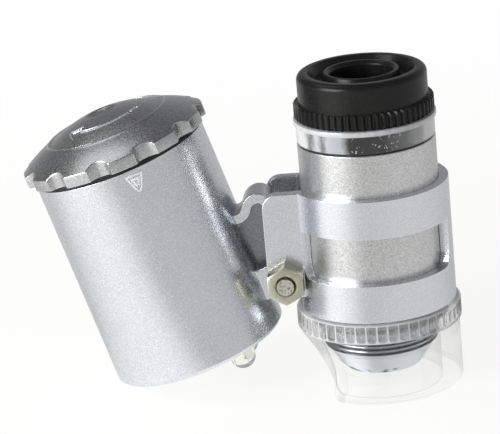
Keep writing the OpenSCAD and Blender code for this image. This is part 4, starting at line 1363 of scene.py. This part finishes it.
    def cone_height(self, radius: float) -> float:
        """Height of the slightly bulging cone at a radius."""
        part = min(1.0, max(0.0, (self.cap_r - radius) / (self.cap_r - self.cone_foot)))
        return self.rim_z + part * self.cone_h + self.cone_bulge * math.sin(math.pi * part)

    def disc_height(self, radius: float) -> float:
        """Height of the slightly domed disc at a radius."""
        part = (self.disc_r - radius) / (self.disc_r - self.dimple_r)
        return self.cone_z + self.dome_h * (part + self.dome_bulge * math.sin(math.pi * part))

    def disc_radii(self) -> list[float]:
        """The disc's rings from outside in, with close ones along the arrow's edges."""
        half = self.arrow_w / 2
        even = [self.disc_r - 0.15 - (self.disc_r - self.dimple_r - 0.3) * i / self.disc_rows
                for i in range(self.disc_rows + 1)]
        close = [self.arrow_r + half + 0.06, self.arrow_r + half, self.arrow_r - half,
                 self.arrow_r - half - 0.06]
        return sorted([r for r in even if abs(r - self.arrow_r) > half + 0.1] + close, reverse=True)

    def cap(self) -> None:
        """The scalloped cap: a rim, a cone, an outlined disc with a curved arrow, and a dimple."""
        ceiling, skirt_low = self.housing_h + self.ceiling_rise, self.housing_h - self.skirt_h
        skirt_r = self.housing_r - self.wall - self.skirt_gap
        hollow_r = skirt_r - self.skirt_t
        low, cone, top = self.cap_z, self.cone_z, self.cone_z + self.dome_h
        line_top = cone + self.disc_line_h
        first_cut = self.cap_r - self.scallop_deep - 0.12
        outline = ([(0.0, ceiling), (hollow_r, ceiling), (hollow_r, skirt_low), (skirt_r, skirt_low),
                    (skirt_r, low), (first_cut, low), (self.cap_r, low), (self.cap_r, self.rim_z)]
                   + [(r, self.cone_height(r)) for r in (first_cut - i * 0.5 for i in range(6))]
                   + [(self.cone_foot, cone), (self.disc_r + self.disc_line_w * 0.65, line_top),
                      (self.disc_r + self.disc_line_w * 0.2, line_top), (self.disc_r, cone)]
                   + [(r, self.disc_height(r)) for r in self.disc_radii()]
                   + [(self.dimple_r * share, top - drop) for share, drop in (
                       (1.0, 0.0), (0.88, 0.1), (0.7, 0.3), (0.4, 0.38), (0.0, 0.4))])
        shape = Shaper().lathe(outline, self.scallops * self.per_scallop, closed=False)
        shape.reshape(self.carve)
        shape.soften(0.16, 3, 33.0, [
            v for v in shape.bm.verts if polar(v.co)[0] > self.cap_r - self.scallop_deep - 0.05])
        # painted highlight: the arrow's lines are lacquered lighter than the cap
        self.add(self.arrow(), "cap_arrow", Body.CAP, Slot.CAP,
                 SilverLacquer("arrow_painted_highlight", (0.60, 0.61, 0.62), (0.86, 0.87, 0.88), 0.3, 0.6))
        finish = SilverLacquer("cap_lacquer", (0.325, 0.33, 0.334), (0.69, 0.695, 0.70), 0.28, 0.95,
                               flake_mm=0.13, sparkle=0.35, orange_peel_mm=0.32, peel_depth_mm=0.02,
                               peel_strength=0.6, painted_edge_highlight=0.75)
        self.add(shape, "scalloped_cap", Body.CAP, Slot.CAP, finish, "battery_cap")

    def carve(self, point: Vector) -> Vector:
        """Sinks the arrow, and pulls the rim in where a scallop cuts it, along the cone."""
        radius, angle = polar(point)
        if radius < self.disc_r and point.z > self.cone_z:
            front = (math.degrees(angle) + 270.0) % 360.0 - 180.0
            return Vector((point.x, point.y, point.z - self.arrow_depth(radius, front)))
        if radius < self.cap_r - 0.01:
            return point
        pitch = math.tau / self.scallops
        turn = (angle + math.pi / 2 - math.radians(self.cap_phase)) % pitch - pitch / 2
        centre_r = self.cap_r - self.scallop_deep + self.scallop_r
        reach = self.scallop_r ** 2 - (centre_r * math.sin(turn)) ** 2
        cut = centre_r * math.cos(turn) - math.sqrt(reach) if reach > 0.0 else self.cap_r
        new = min(self.cap_r, cut)
        return on_circle(new, angle, self.cone_height(new) if point.z > self.cap_z + 0.01 else point.z)

    def arrow(self) -> Shaper:
        """The curved arrow's lines on the cap's disc, lighter than the cap as a painted highlight: two
        bars and the head's two sides.
        """
        whole = Shaper()
        body = (self.arrow_body[0] + self.body_inset, self.arrow_body[1])
        tip = (self.arrow_tip[0] - self.tip_inset, self.arrow_tip[1] + self.tip_inset)
        for (start, end), shift, half in (
                (body, 0.0, self.body_half), (self.arrow_tail, 0.0, self.body_half),
                (tip, self.arrow_head, self.tip_half), (tip, -self.arrow_head, self.tip_half)):
            bar = Shaper()
            corners = oblong(self.arrow_r - half, self.arrow_r + half, 0.0, 1.0)
            face = bar.bm.faces.new([bar.bm.verts.new((r, 0.0, z)) for r, z in corners])
            sweep = math.radians(end - start)
            bmesh.ops.spin(bar.bm, geom=[face], axis=(0, 0, 1), cent=(0, 0, 0), dvec=(0, 0, 0),
                           angle=sweep, steps=24, use_merge=False, use_normal_flip=False,
                           use_duplicate=False)

            def lay(point: Vector) -> Vector:
                """Lays a point of the bar on the disc."""
                radius, turn = polar(point)
                radius += shift - shift * turn / sweep
                z = self.disc_height(radius) + (self.arrow_lift if point.z > 0.5 else -self.arrow_deep)
                return on_circle(radius, turn + math.radians(start - 90.0), z)

            whole.join(bar.reshape(lay).face_outwards())
        return whole

    def lights(self) -> None:
        """The two clear lights with round ends."""
        rim, (low, high) = self.led_r + self.led_rim, self.led_rim_z
        outline = ([(0.0, high), (rim, high), (rim, low), (self.led_r, low)]
                   + arc((0.0, self.led_r - self.led_out), self.led_r, 0.0, -90.0, 10))
        shape = Shaper()
        for side in (-1, 1):
            light = Shaper().lathe(outline, 48, closed=False)
            bmesh.ops.translate(light.bm, verts=light.bm.verts,
                                vec=(self.led_x, side * self.led_pitch / 2, 0.0))
            shape.join(light)
        self.add(shape, "round_lights", Body.LAMP, Slot.LED,
                 ClearPlastic("led_epoxy", (0.97, 0.97, 0.93), 1.53, 0.04), "led_lights")


@dataclass
class Studio:
    """The floor, the lights, the world and the camera at the photograph's angle."""

    image: tuple[int, int] = (500, 434)
    focal_px: float = 2937.0
    distance: float = 343.8
    elevation: float = 18.2
    azimuth: float = 3.0
    lean: float = 4.4
    target: tuple[float, float, float] = (0.0, 0.0, 19.0)
    target_px: tuple[float, float] = (372.9, 224.8)
    sensor: float = 36.0
    floor_r: float = 0.9
    left_tones: Stops = (
        (0.0, (0.80, 0.80, 0.79)), (0.50, (0.56, 0.56, 0.57)), (0.60, (0.34, 0.345, 0.35)),
        (0.74, (0.18, 0.18, 0.185)), (1.0, (0.13, 0.13, 0.135)))
    right_tones: Stops = (
        (0.0, (0.80, 0.80, 0.79)), (0.50, (0.58, 0.58, 0.585)), (0.60, (0.54, 0.545, 0.55)),
        (0.74, (0.42, 0.42, 0.425)), (0.90, (0.18, 0.18, 0.185)))
    room_left: float = 0.56
    room_right: float = 1.0
    floor_glow: float = 1.10
    glow_share: float = 0.80
    mirror_share: float = 0.72
    mirror_glow: float = 0.72
    patch_az: float = -150.0
    patch_edge: float = 0.74
    patch_glow: float = 0.66
    side_az: float = -25.0
    side_edge: float = 0.35
    side_glow: float = 0.20
    fade_from: float = 0.06
    fade_width: float = 0.12
    aim: tuple[float, float, float] = (-0.01, 0.0, 0.018)
    key: tuple = ("key_left", (-0.45, -0.32, 0.20), 0.36, 3.3, (1.0, 0.99, 0.985))
    top: tuple = ("top_soft", (-0.27, 0.09, 0.46), 0.26, 0.27, WHITE)

    def build(self) -> None:
        """Builds the stage, with a large soft light at the left front and a weaker one above."""
        self.camera()
        self.world()
        self.floor()
        self.light(*self.key)
        self.light(*self.top)

    def camera(self) -> None:
        """Aims the camera so that the target falls on its pixel."""
        a, e = math.radians(self.azimuth), math.radians(self.elevation)
        back = Vector((math.sin(a) * math.cos(e), -math.cos(a) * math.cos(e), math.sin(e)))
        right = Vector((math.cos(a), math.sin(a), 0.0))
        up = back.cross(right)
        lean = math.radians(self.lean)
        leaned_right = right * math.cos(lean) - up * math.sin(lean)
        leaned_up = up * math.cos(lean) + right * math.sin(lean)
        dx = (self.image[0] / 2 - self.target_px[0]) / self.focal_px
        dy = (self.target_px[1] - self.image[1] / 2) / self.focal_px
        forward = (-back + leaned_right * dx + leaned_up * dy).normalized()
        x_axis = forward.cross(leaned_up).normalized()
        y_axis = x_axis.cross(forward)
        data = bpy.data.cameras.new("camera")
        data.sensor_width = self.sensor
        data.lens = self.focal_px / self.image[0] * self.sensor
        data.clip_start = 0.01
        data.clip_end = 10.0
        camera = stand("camera", data)
        turn = Matrix((x_axis, y_axis, -forward)).transposed().to_4x4()
        spot = (Vector(self.target) + back * self.distance) * MM
        camera.matrix_world = Matrix.Translation(spot) @ turn
        bpy.context.scene.camera = camera

    def world(self) -> None:
        """White for the camera, and a soft studio room for everything else."""
        world = bpy.data.worlds.new("studio")
        bpy.context.scene.world = world
        recipe = Recipe("studio", world)
        seen = recipe.ray("Is Camera Ray") + recipe.ray("Is Transmission Ray")
        way = recipe.node("ShaderNodeTexCoord", {}, {}, "Generated")
        rise = recipe.part(way, "Z") * 0.5 + 0.5
        sides = ((self.left_tones, self.room_left), (self.right_tones, self.room_right))
        left, right = (recipe.glow("ShaderNodeBackground", recipe.ramp(rise, stops), strength)
                       for stops, strength in sides)
        room = recipe.mix((recipe.part(way, "X") * 0.7 + 0.5).clamped(), left, right)
        white = recipe.glow("ShaderNodeBackground", WHITE, 1.0)
        recipe.end(recipe.mix(seen.clamped(), room, white), "ShaderNodeOutputWorld")

    def floor(self) -> None:
        """A pale disc, drawn in metres, that fades into the background and keeps the object's shadow."""
        disc = Shaper()
        bmesh.ops.create_circle(disc.bm, cap_ends=True, cap_tris=True, segments=96, radius=self.floor_r)
        floor = stand("floor", disc.poured("floor"))
        recipe = Recipe("floor_paper")
        tint = recipe.blend(recipe.noise(40.0, 2.0), (0.885, 0.882, 0.870), (0.905, 0.902, 0.892))
        paper = recipe.node("ShaderNodeBsdfDiffuse", {}, {"Color": tint})
        direct = recipe.ray("Is Camera Ray") + recipe.ray("Is Transmission Ray")
        mirrored = recipe.ray("Is Glossy Ray")
        glow = self.mirror_glow
        plain, dim, key_side, far_side = (
            recipe.glow("ShaderNodeEmission", (1.0, 0.998, 0.99), strength)
            for strength in (self.floor_glow, glow, glow + self.patch_glow, glow + self.side_glow))
        mirror = recipe.mix(self.sector(recipe, self.patch_az, self.patch_edge), dim, key_side)
        mirror = recipe.mix(self.sector(recipe, self.side_az, self.side_edge), mirror, far_side)
        share = (direct * self.glow_share + mirrored * self.mirror_share).clamped()
        lit = recipe.mix(share, paper, recipe.mix(mirrored, plain, mirror))
        far = recipe.vector("LENGTH", "Value", recipe.place())
        fade = ((far - self.fade_from) * (1.0 / self.fade_width)).clamped()
        clear = recipe.node("ShaderNodeBsdfTransparent", {}, {})
        floor.data.materials.append(recipe.end(recipe.mix(fade * direct.clamped(), lit, clear)))

    def sector(self, recipe: Recipe, azimuth: float, edge: float) -> Wire:
        """A soft sector of the floor, seen from the object.

        Args:
            recipe: the floor's recipe.
            azimuth: the sector's middle, in degrees from +X.
            edge: the cosine of its half width.

        Returns:
            One in the sector's middle, zero at its edges and beyond.
        """
        angle = math.radians(azimuth)
        ray = recipe.vector("NORMALIZE", "Vector", recipe.place())
        near = recipe.vector("DOT_PRODUCT", "Value", ray, (math.cos(angle), math.sin(angle), 0.0))
        return ((near - edge) * (1.0 / (1.0 - edge))).clamped()

    def light(self, name: str, spot: tuple[float, float, float], size: float, power: float,
              colour: Colour) -> None:
        """One square soft light that looks at the object.

        Args:
            name: the light's name.
            spot: its place in metres.
            size: its side in metres.
            power: its power in watts.
            colour: its colour.
        """
        data = bpy.data.lights.new(name, "AREA")
        data.shape = "SQUARE"
        data.size = size
        data.energy = power
        data.color = colour
        light = stand(name, data)
        light.rotation_euler = (Vector(self.aim) - Vector(spot)).to_track_quat("-Z", "Y").to_euler()
        light.location = spot


def main() -> None:
    """Builds the studio and every group of pieces."""
    logging.basicConfig(level=logging.INFO, format="%(name)s: %(message)s")
    bpy.context.scene.view_settings.view_transform = "Standard"
    Studio().build()
    for group in (OpticalTube(), Eyepiece(), ClearBase(), Lamp()):
        group.build()


if __name__ == "__main__":
    main()
